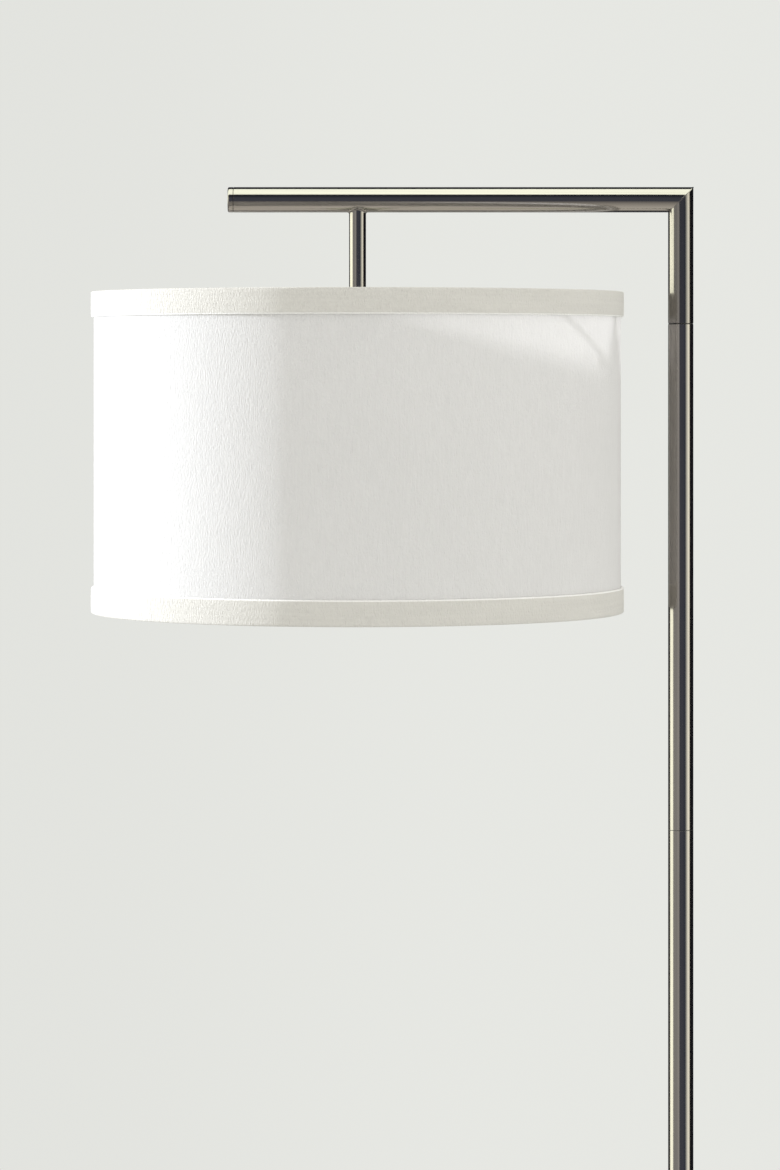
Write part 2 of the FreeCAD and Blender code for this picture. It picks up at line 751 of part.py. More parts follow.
def switch_pieces():
    """The rotary switch's shaft and the knob on it, pointing to -Y."""
    facing = {"axis": VECTOR(1, 0, 0), "angle": 90}
    shaft_length = "(knob_start + knob_socket - shaft_inner_end)"
    outline = [("0", "0"), ("shaft_radius", "0"), ("shaft_radius", shaft_length), ("0", shaft_length)]
    turned("switch_shaft", outline, depth="-shaft_inner_end", **at_stem("switch_drop"), **facing)
    neck = "knob_radius - knob_neck_inset"
    outline = [("shaft_radius", "0"), (neck, "0"), (neck, "knob_neck_length")]
    outline += [("knob_radius", "knob_neck_length + knob_neck_inset"), ("knob_radius", "knob_length")]
    outline += [("0", "knob_length"), ("0", "knob_socket"), ("shaft_radius", "knob_socket")]
    knob = turned("switch_knob", outline, depth="-knob_start", **at_stem("switch_drop"), **facing)
    soften(knob, "Fillet", "knob_round", [("knob_radius", "knob_length")])


# ---- bulb ---------------------------------------------------------------------------------------

BULB_TOP_DROP = "(core_drop + contact_thickness + bulb_gap)"
BULB_CAP_TOP_DROP = f"({BULB_TOP_DROP} + bulb_tip_thickness + bulb_insulator_height)"
BULB_NECK_DROP = "(bulb_centre_drop - bulb_neck_height)"
BULB_CAP_BORE = "(bulb_cap_radius - bulb_cap_wall)"


def bulb_pieces():
    """The bulb: its tip contact, black insulator, screw cap, glass, inner mount and filaments."""
    outline = [("0", "0"), ("bulb_tip_radius", "0")]
    outline += [("bulb_tip_radius - bulb_tip_bevel", "bulb_tip_thickness"), ("0", "bulb_tip_thickness")]
    turned("bulb_tip_contact", outline, **at_stem(f"{BULB_TOP_DROP} + bulb_tip_thickness"))
    outline = [("0", "0"), ("bulb_cap_radius - bulb_cap_taper", "0")]
    outline += [("bulb_tip_radius", "bulb_insulator_height"), ("0", "bulb_insulator_height")]
    turned("bulb_cap_insulator", outline, **at_stem(BULB_CAP_TOP_DROP))
    height, inner_height = "bulb_cap_height", "bulb_cap_height - bulb_cap_wall"
    end = "bulb_cap_radius - bulb_cap_taper"
    outline = [(BULB_CAP_BORE, "0"), ("bulb_cap_radius", "0")]
    outline += [("bulb_cap_radius", f"{height} - bulb_cap_taper"), (end, height), ("0", height)]
    outline += [("0", inner_height), (f"{end} - bulb_cap_wall / 2", inner_height)]
    outline += [(BULB_CAP_BORE, f"{height} - bulb_cap_taper - bulb_cap_wall / 2")]
    turned("bulb_cap", outline, **at_stem(f"{BULB_CAP_TOP_DROP} + bulb_cap_height"))
    bulb_glass()
    bulb_mount()
    bulb_filaments()


def bulb_mount():
    """The glass stem inside the bulb: a rod that flares out to the neck."""
    flare_radius = f"{BULB_CAP_BORE} - bulb_wall - mount_play"
    flare_top = "(mount_stem_height + mount_flare_height)"
    top = f"{flare_top} + mount_rim_height"
    outline = [("0", "0"), ("mount_radius", "0"), ("mount_radius", "mount_stem_height")]
    outline += [(flare_radius, flare_top), (flare_radius, top), ("0", top)]
    turned("bulb_mount", outline, **at_stem(f"{BULB_NECK_DROP} + mount_drop"))


def bulb_envelope(name, offset):
    """The round of the bulb, its cone up to the neck and the neck, all moved in by an offset."""
    tangent_height = "(bulb_radius * sin(bulb_cone_angle))"
    tangent_radius = "(bulb_radius * cos(bulb_cone_angle))"
    narrowing = f"((bulb_neck_height - {tangent_height}) * tan(bulb_cone_angle))"
    ball = DOCUMENT.addObject("Part::Sphere", name + "_ball")
    bind(ball, "Radius", f"bulb_radius - {offset}")
    place(ball, **at_stem("bulb_centre_drop"))
    neck_radius = f"{tangent_radius} - {narrowing} - {offset}"
    cone = DOCUMENT.addObject("Part::Cone", name + "_cone")
    bind(cone, "Radius1", f"{tangent_radius} - {offset} * cos(bulb_cone_angle)")
    bind(cone, "Radius2", neck_radius)
    bind(cone, "Height", f"bulb_neck_height - {tangent_height} + {offset} * sin(bulb_cone_angle)")
    place(cone, **at_stem(f"bulb_centre_drop - {tangent_height} + {offset} * sin(bulb_cone_angle)"))
    neck = cylinder(name + "_neck", neck_radius, f"bulb_neck_overlap + {offset}", **at_stem(BULB_NECK_DROP))
    envelope = DOCUMENT.addObject("Part::MultiFuse", name)
    envelope.Shapes = [ball, cone, neck]
    return envelope


def bulb_glass():
    glass = DOCUMENT.addObject("Part::Cut", "bulb_glass")
    glass.Base = bulb_envelope("glass_outside", "0")
    glass.Tool = bulb_envelope("glass_inside", "bulb_wall")
    sub_part(glass, "bulb_glass")


def bulb_filaments():
    """Four upright light-emitting rods round the bulb's mount."""
    rods = []
    for side_x in (1, -1):
        for side_y in (1, -1):
            spot = {
                "across": f"{STEM_X} + {side_x} * filament_spread",
                "depth": f"{side_y} * filament_spread",
                "height": drop(f"{BULB_NECK_DROP} + filament_drop + filament_length"),
            }
            rods.append(cylinder("rod", "filament_radius", "filament_length", **spot))
    filaments = DOCUMENT.addObject("Part::MultiFuse", "bulb_filaments")
    filaments.Shapes = rods
    sub_part(filaments, "bulb_filaments")


# ---- shade --------------------------------------------------------------------------------------


def shade_carrier():
    """The fitter ring under the socket's flange, the nut that holds it, the three spider arms that
    rise from it to the shade's top, and the two wire rings."""
    fitter_top = "(flange_drop + flange_thickness)"
    fitter_spot = at_stem(f"{fitter_top} + fitter_thickness")
    ring("fitter_ring", "fitter_bore", "fitter_radius", "fitter_thickness", **fitter_spot)
    nut_bottom = f"{fitter_top} + fitter_thickness + ring_nut_height"
    nut = ring("shade_ring_nut", "skirt_radius", "ring_nut_radius", "ring_nut_height", **at_stem(nut_bottom))
    soften(nut, "Chamfer", "ring_nut_edge", [("ring_nut_radius", "0")])
    run = "(ring_radius - spider_short - fitter_radius + spider_inset)"
    rise = "(spider_recess - spider_wire_drop)"
    for number in range(SPIDER_ARMS):
        angle = SPIDER_START_ANGLE + number * 360 / SPIDER_ARMS
        spider_arm(f"spider_arm_{number + 1}", angle, run, rise)
    wire_depth = "trim_lip + ring_wire_radius + ring_play"
    for label, middle in (
        ("shade_top_ring", f"{SHADE_TOP} - ({wire_depth})"),
        ("shade_bottom_ring", f"{SHADE_BOTTOM} + {wire_depth}"),
    ):
        wire = DOCUMENT.addObject("Part::Torus", label)
        bind(wire, "Radius1", "ring_radius")
        bind(wire, "Radius2", "ring_wire_radius")
        place(wire, across=STEM_X, height=middle)
        sub_part(wire, label)


def spider_arm(label, angle, run, rise):
    """A straight rod from the fitter ring's edge up to the top wire ring."""
    rod = DOCUMENT.addObject("Part::Cylinder", label)
    bind(rod, "Radius", "spider_wire_radius")
    bind(rod, "Height", f"sqrt({run} ^ 2 + {rise} ^ 2)")
    start_across = f"{STEM_X} + (fitter_radius - spider_inset) * cos({angle})"
    start_depth = f"(fitter_radius - spider_inset) * sin({angle})"
    start_height = f"{SHADE_TOP} - spider_recess"
    place(rod, across=start_across, height=start_height, depth=start_depth)
    turn = math.radians(angle)
    way = VECTOR(value(run) * math.cos(turn), value(run) * math.sin(turn), value(rise))
    rod.Placement.Rotation = FreeCAD.Rotation(UP, way)
    sub_part(rod, label)


def shade_skins():
    """The stiff liner, the fabric on it, and the two trims folded over the rims."""
    fabric_bore = "(fabric_radius - fabric_thickness)"
    liner_bore = f"({fabric_bore} - liner_thickness)"
    height = "shade_height - 2 * trim_lip"
    foot = f"{SHADE_BOTTOM} + trim_lip"
    ring("shade_liner", liner_bore, fabric_bore, height, across=STEM_X, height=foot)
    ring("shade_fabric", fabric_bore, "fabric_radius", height, across=STEM_X, height=foot)
    outline = [("fabric_radius", "0"), ("trim_radius", "0"), ("trim_radius", "trim_height")]
    outline += [("trim_lip_radius", "trim_height"), ("trim_lip_radius", "trim_height - trim_lip")]
    outline += [("fabric_radius", "trim_height - trim_lip")]
    turned("shade_trim_top", outline, across=STEM_X, height=f"{SHADE_TOP} - trim_height")
    outline = [("trim_lip_radius", "0"), ("trim_radius", "0"), ("trim_radius", "trim_height")]
    outline += [("fabric_radius", "trim_height"), ("fabric_radius", "trim_lip")]
    outline += [("trim_lip_radius", "trim_lip")]
    turned("shade_trim_bottom", outline, across=STEM_X, height=SHADE_BOTTOM)


# ---- the whole lamp -----------------------------------------------------------------------------


def build():
    base_cover()
    base_weight()
    base_pieces()
    cord_bushing()
    pole_sections()
    pole_screw_joints()
    swivel_pieces()
    elbow_leg()
    arm_tube()
    arm_end_cap()
    drop_stem()
    inner_leads()
    socket_pieces()
    switch_pieces()
    bulb_pieces()
    shade_carrier()
    shade_skins()
    DOCUMENT.recompute()


def check():
    """Stops if any object of the document failed, or a sub-part has no sound shape."""
    for item in DOCUMENT.Objects:
        if {"Invalid", "Error"} & set(item.State):
            raise ValueError(f"{item.Name} failed: {item.State}")
    for item in SUB_PARTS:
        if item.Shape.isNull() or not item.Shape.isValid() or not item.Shape.Solids:
            raise ValueError(f"{item.Label} has no sound shape")


def export():
    os.makedirs("parts", exist_ok=True)
    for item in SUB_PARTS:
        item.Shape.exportStep(f"parts/{item.Label}.step")


build()
check()
export()
print(f"{len(SUB_PARTS)} sub-parts written")
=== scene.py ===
"""The looks of a pharmacy floor lamp: a polished pole and arm, and a fabric drum shade on a drop stem.

Metres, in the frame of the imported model. Places and sizes come from its nodes' boxes.
"""

import json
import math
from functools import partial

import bmesh
import bpy
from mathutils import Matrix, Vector

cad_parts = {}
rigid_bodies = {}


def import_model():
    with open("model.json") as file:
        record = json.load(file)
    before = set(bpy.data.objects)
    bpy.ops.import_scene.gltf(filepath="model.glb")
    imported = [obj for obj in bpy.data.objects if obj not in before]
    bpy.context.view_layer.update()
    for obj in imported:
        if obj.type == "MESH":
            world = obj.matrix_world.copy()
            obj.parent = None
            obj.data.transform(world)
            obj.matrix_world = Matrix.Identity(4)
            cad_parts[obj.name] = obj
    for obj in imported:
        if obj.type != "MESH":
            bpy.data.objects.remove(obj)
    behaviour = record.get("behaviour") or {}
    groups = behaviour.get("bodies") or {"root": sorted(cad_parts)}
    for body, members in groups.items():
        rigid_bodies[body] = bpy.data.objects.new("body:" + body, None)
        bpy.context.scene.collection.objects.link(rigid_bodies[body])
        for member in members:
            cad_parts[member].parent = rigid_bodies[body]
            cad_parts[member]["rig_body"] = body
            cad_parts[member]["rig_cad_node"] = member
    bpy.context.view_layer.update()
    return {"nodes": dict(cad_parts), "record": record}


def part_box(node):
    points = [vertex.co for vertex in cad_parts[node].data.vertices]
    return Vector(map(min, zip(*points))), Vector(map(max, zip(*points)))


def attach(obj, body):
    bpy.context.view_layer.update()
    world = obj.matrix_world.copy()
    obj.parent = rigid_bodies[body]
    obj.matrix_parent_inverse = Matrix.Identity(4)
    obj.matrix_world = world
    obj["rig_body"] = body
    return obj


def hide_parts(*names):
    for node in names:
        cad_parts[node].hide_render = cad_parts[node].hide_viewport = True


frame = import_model()
NODES = frame["nodes"]
MM = 0.001
TURN = 2 * math.pi


# ---- places and sizes, from the frame -------------------------------------------------------------

def middle(node):
    low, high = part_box(node)
    return (low + high) / 2


def half_width(node):
    low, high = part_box(node)
    return (high.y - low.y) / 2


ARM_LOW, ARM_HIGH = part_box("arm_tube")
LEG_LOW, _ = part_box("elbow_leg")
CLOTH_LOW, CLOTH_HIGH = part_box("shade_fabric")
TRIM_TOP_LOW, TRIM_TOP_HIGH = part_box("shade_trim_top")
TRIM_FOOT_LOW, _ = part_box("shade_trim_bottom")
LAMP_TOP = ARM_HIGH.z
TUBE_RADIUS = (ARM_HIGH.z - ARM_LOW.z) / 2
AXIS_HEIGHT = LAMP_TOP - TUBE_RADIUS
ARM_END = ARM_LOW.x
POLE_X = middle("elbow_leg").x
STEM_X = middle("drop_stem").x
SHADE_TOP = TRIM_TOP_HIGH.z
SHADE_FOOT = TRIM_FOOT_LOW.z
CLOTH_RADIUS = half_width("shade_fabric")
LINER_RADIUS = half_width("shade_liner")
TRIM_RADIUS = half_width("shade_trim_top")


# ---- node helpers ---------------------------------------------------------------------------------

# The sockets of a Mix node that mixes colours.
MIX_SHARE, MIX_FIRST, MIX_SECOND, MIX_COLOUR = 0, 6, 7, 2


def link(tree, source, target):
    tree.links.new(source, target)


def feed(tree, socket, given):
    """Puts a number, a colour or another node's output on a socket."""
    if hasattr(given, "is_linked"):
        link(tree, given, socket)
    elif given is not None:
        socket.default_value = given


def calc(tree, operation, first, second=None, third=None):
    node = tree.nodes.new("ShaderNodeMath")
    node.operation = operation
    for socket, given in zip(node.inputs, (first, second, third)):
        feed(tree, socket, given)
    return node.outputs[0]


def smooth_step(tree, given, low, high):
    """Rises smoothly from 0 at low to 1 at high."""
    node = tree.nodes.new("ShaderNodeMapRange")
    node.interpolation_type = "SMOOTHSTEP"
    feed(tree, node.inputs["Value"], given)
    node.inputs["From Min"].default_value = low
    node.inputs["From Max"].default_value = high
    return node.outputs["Result"]


def band(tree, given, low, high, blur):
    """1 between low and high, 0 outside, with soft edges."""
    rise = smooth_step(tree, given, low - blur, low + blur)
    fall = smooth_step(tree, given, high - blur, high + blur)
    return calc(tree, "SUBTRACT", rise, fall)


def mix_colours(tree, share, first, second, blend="MIX"):
    node = tree.nodes.new("ShaderNodeMix")
    node.data_type = "RGBA"
    node.blend_type = blend
    feed(tree, node.inputs[MIX_SHARE], share)
    feed(tree, node.inputs[MIX_FIRST], first)
    feed(tree, node.inputs[MIX_SECOND], second)
    return node.outputs[MIX_COLOUR]


def noise(tree, kind, per_metre, detail=2.0, roughness=0.5):
    """Noise over one kind of texture coordinates, with so many grains to the metre each way."""
    source = tree.nodes.new("ShaderNodeTexCoord")
    mapping = tree.nodes.new("ShaderNodeMapping")
    mapping.inputs["Scale"].default_value = per_metre
    link(tree, source.outputs[kind], mapping.inputs["Vector"])
    node = tree.nodes.new("ShaderNodeTexNoise")
    node.inputs["Scale"].default_value = 1.0
    node.inputs["Detail"].default_value = detail
    node.inputs["Roughness"].default_value = roughness
    link(tree, mapping.outputs["Vector"], node.inputs["Vector"])
    return node.outputs["Fac"]


def bump(tree, height, distance):
    node = tree.nodes.new("ShaderNodeBump")
    node.inputs["Distance"].default_value = distance
    node.inputs["Strength"].default_value = 1.0
    link(tree, height, node.inputs["Height"])
    return node.outputs["Normal"]


def ramp(tree, given, stops):
    """A colour ramp from a list of (place, colour)."""
    node = tree.nodes.new("ShaderNodeValToRGB")
    elements = node.color_ramp.elements
    elements[0].position, elements[1].position = stops[0][0], stops[-1][0]
    for place, _ in stops[1:-1]:
        elements.new(place)
    for element, (_, colour) in zip(elements, stops):
        element.color = opaque(colour)
    feed(tree, node.inputs["Fac"], given)
    return node.outputs["Color"]


def tones(tree, pattern, dark, light, low=0.3, high=0.7):
    """Goes from dark to light as the pattern rises from low to high, the range most noise lies in."""
    return ramp(tree, pattern, [(low, dark), (high, light)])


def blended(tree, first, second, share):
    """Two patterns mixed, with this share of the second."""
    return calc(tree, "MULTIPLY_ADD", second, share, calc(tree, "MULTIPLY", first, 1 - share))


def grey(level):
    return (level, level, level)


def every_way(number):
    return (number, number, number)


def opaque(colour):
    return (*colour, 1)


def dimmed(colour, level):
    return tuple(part * level for part in colour)


def new_material(name, settings):
    """A material with a Principled shader, and the values that are the same all over it."""
    material = bpy.data.materials.new(name)
    material.use_nodes = True
    tree = material.node_tree
    shader = tree.nodes["Principled BSDF"]
    for socket, value in settings.items():
        shader.inputs[socket].default_value = value
    return material, tree, shader


def output_mix(tree, share, shader, other):
    """Puts a mix of two shaders on the material's output, with this share of the second."""
    mix = tree.nodes.new("ShaderNodeMixShader")
    feed(tree, mix.inputs["Fac"], share)
    link(tree, shader.outputs[0], mix.inputs[1])
    link(tree, other.outputs[0], mix.inputs[2])
    link(tree, mix.outputs[0], tree.nodes["Material Output"].inputs["Surface"])


# ---- materials ------------------------------------------------------------------------------------

def metal(name, colour, roughness, uneven, grain, grain_depth=0.0, tarnish=0.04, lines=0.0):
    """Bare or plated metal: its roughness drifts like handling marks, with fine grain across it.

    uneven is how far the roughness drifts, tarnish is how much darker its patches are, and lines is how
    much the polishing lines of the grain darken it."""
    handling_marks = every_way(9)
    grain_share = 0.6
    material, tree, shader = new_material(name, {"Metallic": 1.0})
    broad = noise(tree, "Object", handling_marks, detail=3.0)
    fine = noise(tree, "Object", grain, detail=4.0, roughness=0.6)
    level = calc(tree, "MULTIPLY_ADD", broad, uneven, roughness - uneven / 2)
    level = calc(tree, "MULTIPLY_ADD", fine, uneven * grain_share, level)
    link(tree, level, shader.inputs["Roughness"])
    tint = tones(tree, broad, dimmed(colour, 1 - tarnish), colour, low=0.35, high=0.65)
    if lines:
        streaks = tones(tree, fine, grey(1 - lines), grey(1.0), low=0.38, high=0.62)
        tint = mix_colours(tree, 1.0, tint, streaks, "MULTIPLY")
    link(tree, tint, shader.inputs["Base Color"])
    if grain_depth:
        link(tree, bump(tree, fine, grain_depth), shader.inputs["Normal"])
    return material


def moulded(name, colour, roughness, texture=900, depth=0.02 * MM, coat=0.0):
    """Moulded plastic or glazed ceramic, with a fine surface texture and faint mottling."""
    mottling, mottling_level = every_way(40), 0.88
    roughness_drift = 0.15
    least_roughness = roughness - 0.07
    material, tree, shader = new_material(name, {"Coat Weight": coat})
    fine = noise(tree, "Object", every_way(texture))
    broad = noise(tree, "Object", mottling, detail=3.0)
    link(tree, tones(tree, broad, dimmed(colour, mottling_level), colour), shader.inputs["Base Color"])
    link(tree, calc(tree, "MULTIPLY_ADD", fine, roughness_drift, least_roughness), shader.inputs["Roughness"])
    link(tree, bump(tree, fine, depth), shader.inputs["Normal"])
    return material


def translucent_sheet(name, front, through, share, height, depth, sheen=0.0, roughness=0.8):
    """A thin sheet that scatters light back and lets a share of it through.

    front, through and height are functions that make the colours and the relief in a node tree."""
    material, tree, shader = new_material(name, {
        "Roughness": roughness,
        "Sheen Weight": sheen,
        "Sheen Roughness": 0.4,
        "Specular IOR Level": 0.25,
    })
    normal = bump(tree, height(tree), depth)
    link(tree, front(tree), shader.inputs["Base Color"])
    link(tree, normal, shader.inputs["Normal"])
    glow = tree.nodes.new("ShaderNodeBsdfTranslucent")
    link(tree, through(tree), glow.inputs["Color"])
    link(tree, normal, glow.inputs["Normal"])
    output_mix(tree, share, shader, glow)
    return material


def slub_height(tree):
    """A fine upright crinkle: short uneven ribs, with slightly thicker slubs among them."""
    ribs, slubs, weft = (1250, 300, 1), (760, 180, 1), (500, 1000, 1)
    slub_share, weft_share = 0.5, 0.25
    fine = noise(tree, "UV", ribs, roughness=0.6)
    height = calc(tree, "MULTIPLY_ADD", noise(tree, "UV", slubs), slub_share, fine)
    return calc(tree, "MULTIPLY_ADD", noise(tree, "UV", weft, detail=1.0), weft_share, height)


CLOTH_WEAVE = (700, 60, 1)
TAPE_WEAVE = (12, 420, 1)


def slub_colour(tree, light, dark, weave):
    """Threads of two close tones along the weave, with faint clouds over them."""
    clouds = (14, 9, 1)
    share = blended(tree, noise(tree, "UV", weave), noise(tree, "UV", clouds), 0.25)
    return tones(tree, share, dark, light, low=0.36, high=0.62)


def cloth_front(tree):
    return slub_colour(tree, light=(0.878, 0.875, 0.868), dark=(0.852, 0.849, 0.842), weave=CLOTH_WEAVE)


def cloth_through(tree):
    return slub_colour(tree, light=(0.62, 0.60, 0.59), dark=(0.59, 0.57, 0.56), weave=CLOTH_WEAVE)


def tape_front(tree):
    """The tape's outer side: slub, with a painted highlight in a light strip along its edge next to the
    cloth.
    """
    # Painted highlight: a lighter strip along the tape's edge next to the cloth, where its rounded edge
    # catches the light.
    highlight_from, highlight_to = 2.1 * MM, 2.5 * MM
    painted_highlight_colour = (0.90, 0.89, 0.86)
    source = tree.nodes.new("ShaderNodeTexCoord")
    place = tree.nodes.new("ShaderNodeSeparateXYZ")
    link(tree, source.outputs["UV"], place.inputs[0])
    past_painted_highlight = smooth_step(tree, place.outputs["Y"], highlight_from, highlight_to)
    slub = slub_colour(tree, light=(0.668, 0.651, 0.606), dark=(0.642, 0.625, 0.582), weave=TAPE_WEAVE)
    return mix_colours(tree, past_painted_highlight, opaque(painted_highlight_colour), slub)


def tape_through(tree):
    return slub_colour(tree, light=(0.62, 0.60, 0.55), dark=(0.55, 0.53, 0.49), weave=TAPE_WEAVE)


def styrene_tone(light, dark, tree):
    """Two close tones of white styrene, in soft clouds."""
    clouds = every_way(18)
    return tones(tree, noise(tree, "Object", clouds, detail=3.0), dark, light, low=0.35, high=0.65)


def styrene_grain(tree):
    """The fine matt grain of styrene."""
    fine_grain = every_way(1200)
    return noise(tree, "Object", fine_grain)


def felt_material():
    fibres, clumps = every_way(1400), every_way(160)
    material, tree, shader = new_material("base_felt_wool", {"Roughness": 0.95, "Sheen Weight": 0.3})
    fibre_noise = noise(tree, "Object", fibres, detail=4.0, roughness=0.7)
    share = blended(tree, fibre_noise, noise(tree, "Object", clumps, detail=3.0), 0.5)
    link(tree, tones(tree, share, grey(0.012), grey(0.05)), shader.inputs["Base Color"])
    link(tree, bump(tree, share, 0.4 * MM), shader.inputs["Normal"])
    return material


def iron_material():
    """Cast iron with its skin of sand marks."""
    sand, patches = every_way(420), every_way(30)
    dark, light = grey(0.02), (0.06, 0.055, 0.05)
    material, tree, shader = new_material("base_cast_iron", {"Roughness": 0.7})
    patch_noise = noise(tree, "Object", patches, detail=4.0)
    sand_noise = noise(tree, "Object", sand, detail=5.0, roughness=0.7)
    link(tree, tones(tree, patch_noise, dark, light), shader.inputs["Base Color"])
    link(tree, bump(tree, sand_noise, 0.3 * MM), shader.inputs["Normal"])
    return material


def glass_material(name, tint):
    """Clear blown glass, with very slight waves."""
    waves = every_way(38)
    material, tree, shader = new_material(name, {
        "Base Color": opaque(tint),
        "Transmission Weight": 1.0,
        "Roughness": 0.0,
        "IOR": 1.5,
    })
    link(tree, bump(tree, noise(tree, "Object", waves), 0.05 * MM), shader.inputs["Normal"])
    return material


def phosphor_material():
    """The yellow phosphor coat of the bulb's rods, slightly speckled."""
    grains = every_way(2600)
    dark, light = (0.74, 0.46, 0.06), (0.86, 0.60, 0.12)
    material, tree, shader = new_material("bulb_phosphor", {
        "Roughness": 0.5,
        "Subsurface Weight": 0.2,
        "Subsurface Scale": 0.5 * MM,
    })
    speckle = noise(tree, "Object", grains)
    link(tree, tones(tree, speckle, dark, light), shader.inputs["Base Color"])
    link(tree, bump(tree, speckle, 0.03 * MM), shader.inputs["Normal"])
    return material


LINES_ACROSS, LINES_ALONG = 1100, 4
UPRIGHT_LINES = (LINES_ACROSS, LINES_ACROSS, LINES_ALONG)
LEVEL_LINES = (LINES_ALONG, LINES_ACROSS, LINES_ACROSS)
# Nickel plate for the arm. The leg's and the stem's are darker copies of the same plate: painted shade that
# dims their reflections.
NICKEL = (0.270, 0.250, 0.229)
NICKEL_DIMMED_FOR_LEG = (0.216, 0.2, 0.183)
NICKEL_DIMMED_FOR_STEM = (0.243, 0.225, 0.206)


def polished_nickel(name, colour, roughness, grain):
    """Nickel plate, with polishing lines that run along the tube."""
    return metal(name, colour, roughness, uneven=0.03, grain=grain, lines=0.12)


def shade_finishes():
    """White silky slub laminated to translucent styrene, and darker tapes of slub folded in layers."""
    cloth = translucent_sheet("shade_cloth_slub", cloth_front, cloth_through, share=0.38,
                              height=slub_height, depth=0.62 * MM, sheen=0.12)
    tapes = translucent_sheet("shade_tape_slub", tape_front, tape_through, share=0.06,
                              height=slub_height, depth=0.9 * MM, sheen=0.12)
    liner = translucent_sheet("shade_liner_styrene",
                              partial(styrene_tone, (0.90, 0.90, 0.885), (0.875, 0.875, 0.855)),
                              partial(styrene_tone, (0.92, 0.905, 0.88), (0.89, 0.875, 0.85)),
                              share=0.42, height=styrene_grain, depth=0.03 * MM, roughness=0.45)
    return {"shade_fabric": cloth, "shade_trim": tapes, "shade_liner": liner}


def metal_finishes():
    return {
        "nickel": polished_nickel("polished_nickel", NICKEL, 0.13, UPRIGHT_LINES),
        "steel": metal("zinc_steel", (0.62, 0.63, 0.64), roughness=0.32, uneven=0.12,
                       grain=every_way(500), grain_depth=0.01 * MM),
        "brass": metal("bright_brass", (0.78, 0.58, 0.27), roughness=0.2, uneven=0.1,
                       grain=every_way(300), tarnish=0.15),
        "socket_metal": metal("satin_nickel", (0.42, 0.40, 0.37), roughness=0.3, uneven=0.06,
                              grain=(900, 900, 30)),
        "bulb_cap": metal("bulb_cap_nickel", (0.72, 0.71, 0.68), roughness=0.25, uneven=0.1,
                          grain=every_way(200)),
    }


def moulded_finishes():
    return {
        "porcelain": moulded("glazed_porcelain", (0.84, 0.83, 0.79), roughness=0.2, texture=300,
                             depth=0.01 * MM, coat=0.5),
        "fibre": moulded("brown_fibre", (0.23, 0.14, 0.08), roughness=0.7, texture=1500, depth=0.05 * MM),
        "phenolic": moulded("black_phenolic", grey(0.016), roughness=0.3, texture=700, depth=0.01 * MM),
        "nylon": moulded("black_nylon", grey(0.02), roughness=0.5),
        "lead_sheath": moulded("black_lead_sheath", grey(0.02), roughness=0.45),
        "white_wire": moulded("white_wire_paint", (0.80, 0.80, 0.78), roughness=0.35, texture=500, coat=0.3),
        "black_glass": moulded("black_glass", grey(0.01), roughness=0.12, texture=200,
                               depth=0.005 * MM, coat=1.0),
    }


FINISHES = {
    **metal_finishes(),
    **moulded_finishes(),
    **shade_finishes(),
    "cast_iron": iron_material(),
    "felt": felt_material(),
    "bulb_glass": glass_material("bulb_clear_glass", (0.99, 0.99, 0.985)),
    "phosphor": phosphor_material(),
}
# The upright leg and the stem take the darkened copies of the nickel: painted shade on their reflections.
ARM_FINISH = polished_nickel("polished_nickel_arm", NICKEL, 0.10, LEVEL_LINES)
DIMMED_LEG_FINISH = polished_nickel("polished_nickel_leg_dimmed", NICKEL_DIMMED_FOR_LEG, 0.14, UPRIGHT_LINES)
DIMMED_STEM_FINISH = polished_nickel("polished_nickel_stem_dimmed", NICKEL_DIMMED_FOR_STEM, 0.12, UPRIGHT_LINES)
BASE_FINISH = metal("satin_nickel_base", (0.40, 0.38, 0.35), roughness=0.36, uneven=0.08,
                    grain=(14, 14, 900), lines=0.1)


def dress(piece, slot_name, finish=None):
    """Gives a piece a finish, its slot's own by default."""
    piece.data.materials.clear()
    piece.data.materials.append(finish or FINISHES[slot_name])


def dress_cad_nodes():
    for part in frame["record"]["subparts"]:
        dress(NODES[part["node"]], part["material_slot"])
    dress(NODES["base_cover"], "nickel", BASE_FINISH)
    dress(NODES["drop_stem"], "nickel", DIMMED_STEM_FINISH)


# ---- mesh helpers ---------------------------------------------------------------------------------

HARD_CREASE, TAPE_CREASE = math.radians(35), math.radians(60)


def make_piece(name, shape, body, slot_name, finish=None, crease=HARD_CREASE):
    """Makes a piece of a bmesh: it rides on a body, and its edges above the crease angle stay sharp."""
    mesh = bpy.data.meshes.new(name)
    bmesh.ops.recalc_face_normals(shape, faces=shape.faces)
    shape.to_mesh(mesh)
    shape.free()
    mesh.set_sharp_from_angle(angle=crease)
    piece = bpy.data.objects.new(name, mesh)
    bpy.context.scene.collection.objects.link(piece)
    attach(piece, body)
    dress(piece, slot_name, finish)
    return piece


def smooth_face(shape, corners, uv_layer=None, places=()):
    """Adds a smooth face, and its corners' places on the UV map if it has one."""
    face = shape.faces.new(corners)
    face.smooth = True
    for loop, place in zip(face.loops, places):
        loop[uv_layer].uv = place


def closed_loft(name, section, steps, body, slot_name, finish=None):
    """A ring of closed cross-sections: section(turn) gives the points of the one at an angle."""
    shape = bmesh.new()
    loops = [[shape.verts.new(point) for point in section(TURN * step / steps)] for step in range(steps)]
    for near, far in zip(loops, loops[1:] + loops[:1]):
        for number in range(len(near)):
            following = (number + 1) % len(near)
            smooth_face(shape, (near[number], far[number], far[following], near[following]))
    return make_piece(name, shape, body, slot_name, finish)


def upright_section(axis_x, profile, turn):
    """A profile of (reach, height) points, turned by an angle about an upright axis."""
    side, depth = math.cos(turn), math.sin(turn)
    return [Vector((axis_x + reach * side, reach * depth, height)) for reach, height in profile]


def level_section(profile, turn):
    """A profile of (place along the arm, reach) points, turned by an angle about the arm's axis."""
    side, up = math.cos(turn), math.sin(turn)
    return [Vector((along, reach * side, AXIS_HEIGHT + reach * up)) for along, reach in profile]


def steps_between(first, last, count):
    """Places from first to last, both included, in so many equal steps."""
    return [first + (last - first) * step / count for step in range(count + 1)]


def clamped(value):
    return max(0.0, min(1.0, value))


# ---- shade ----------------------------------------------------------------------------------------

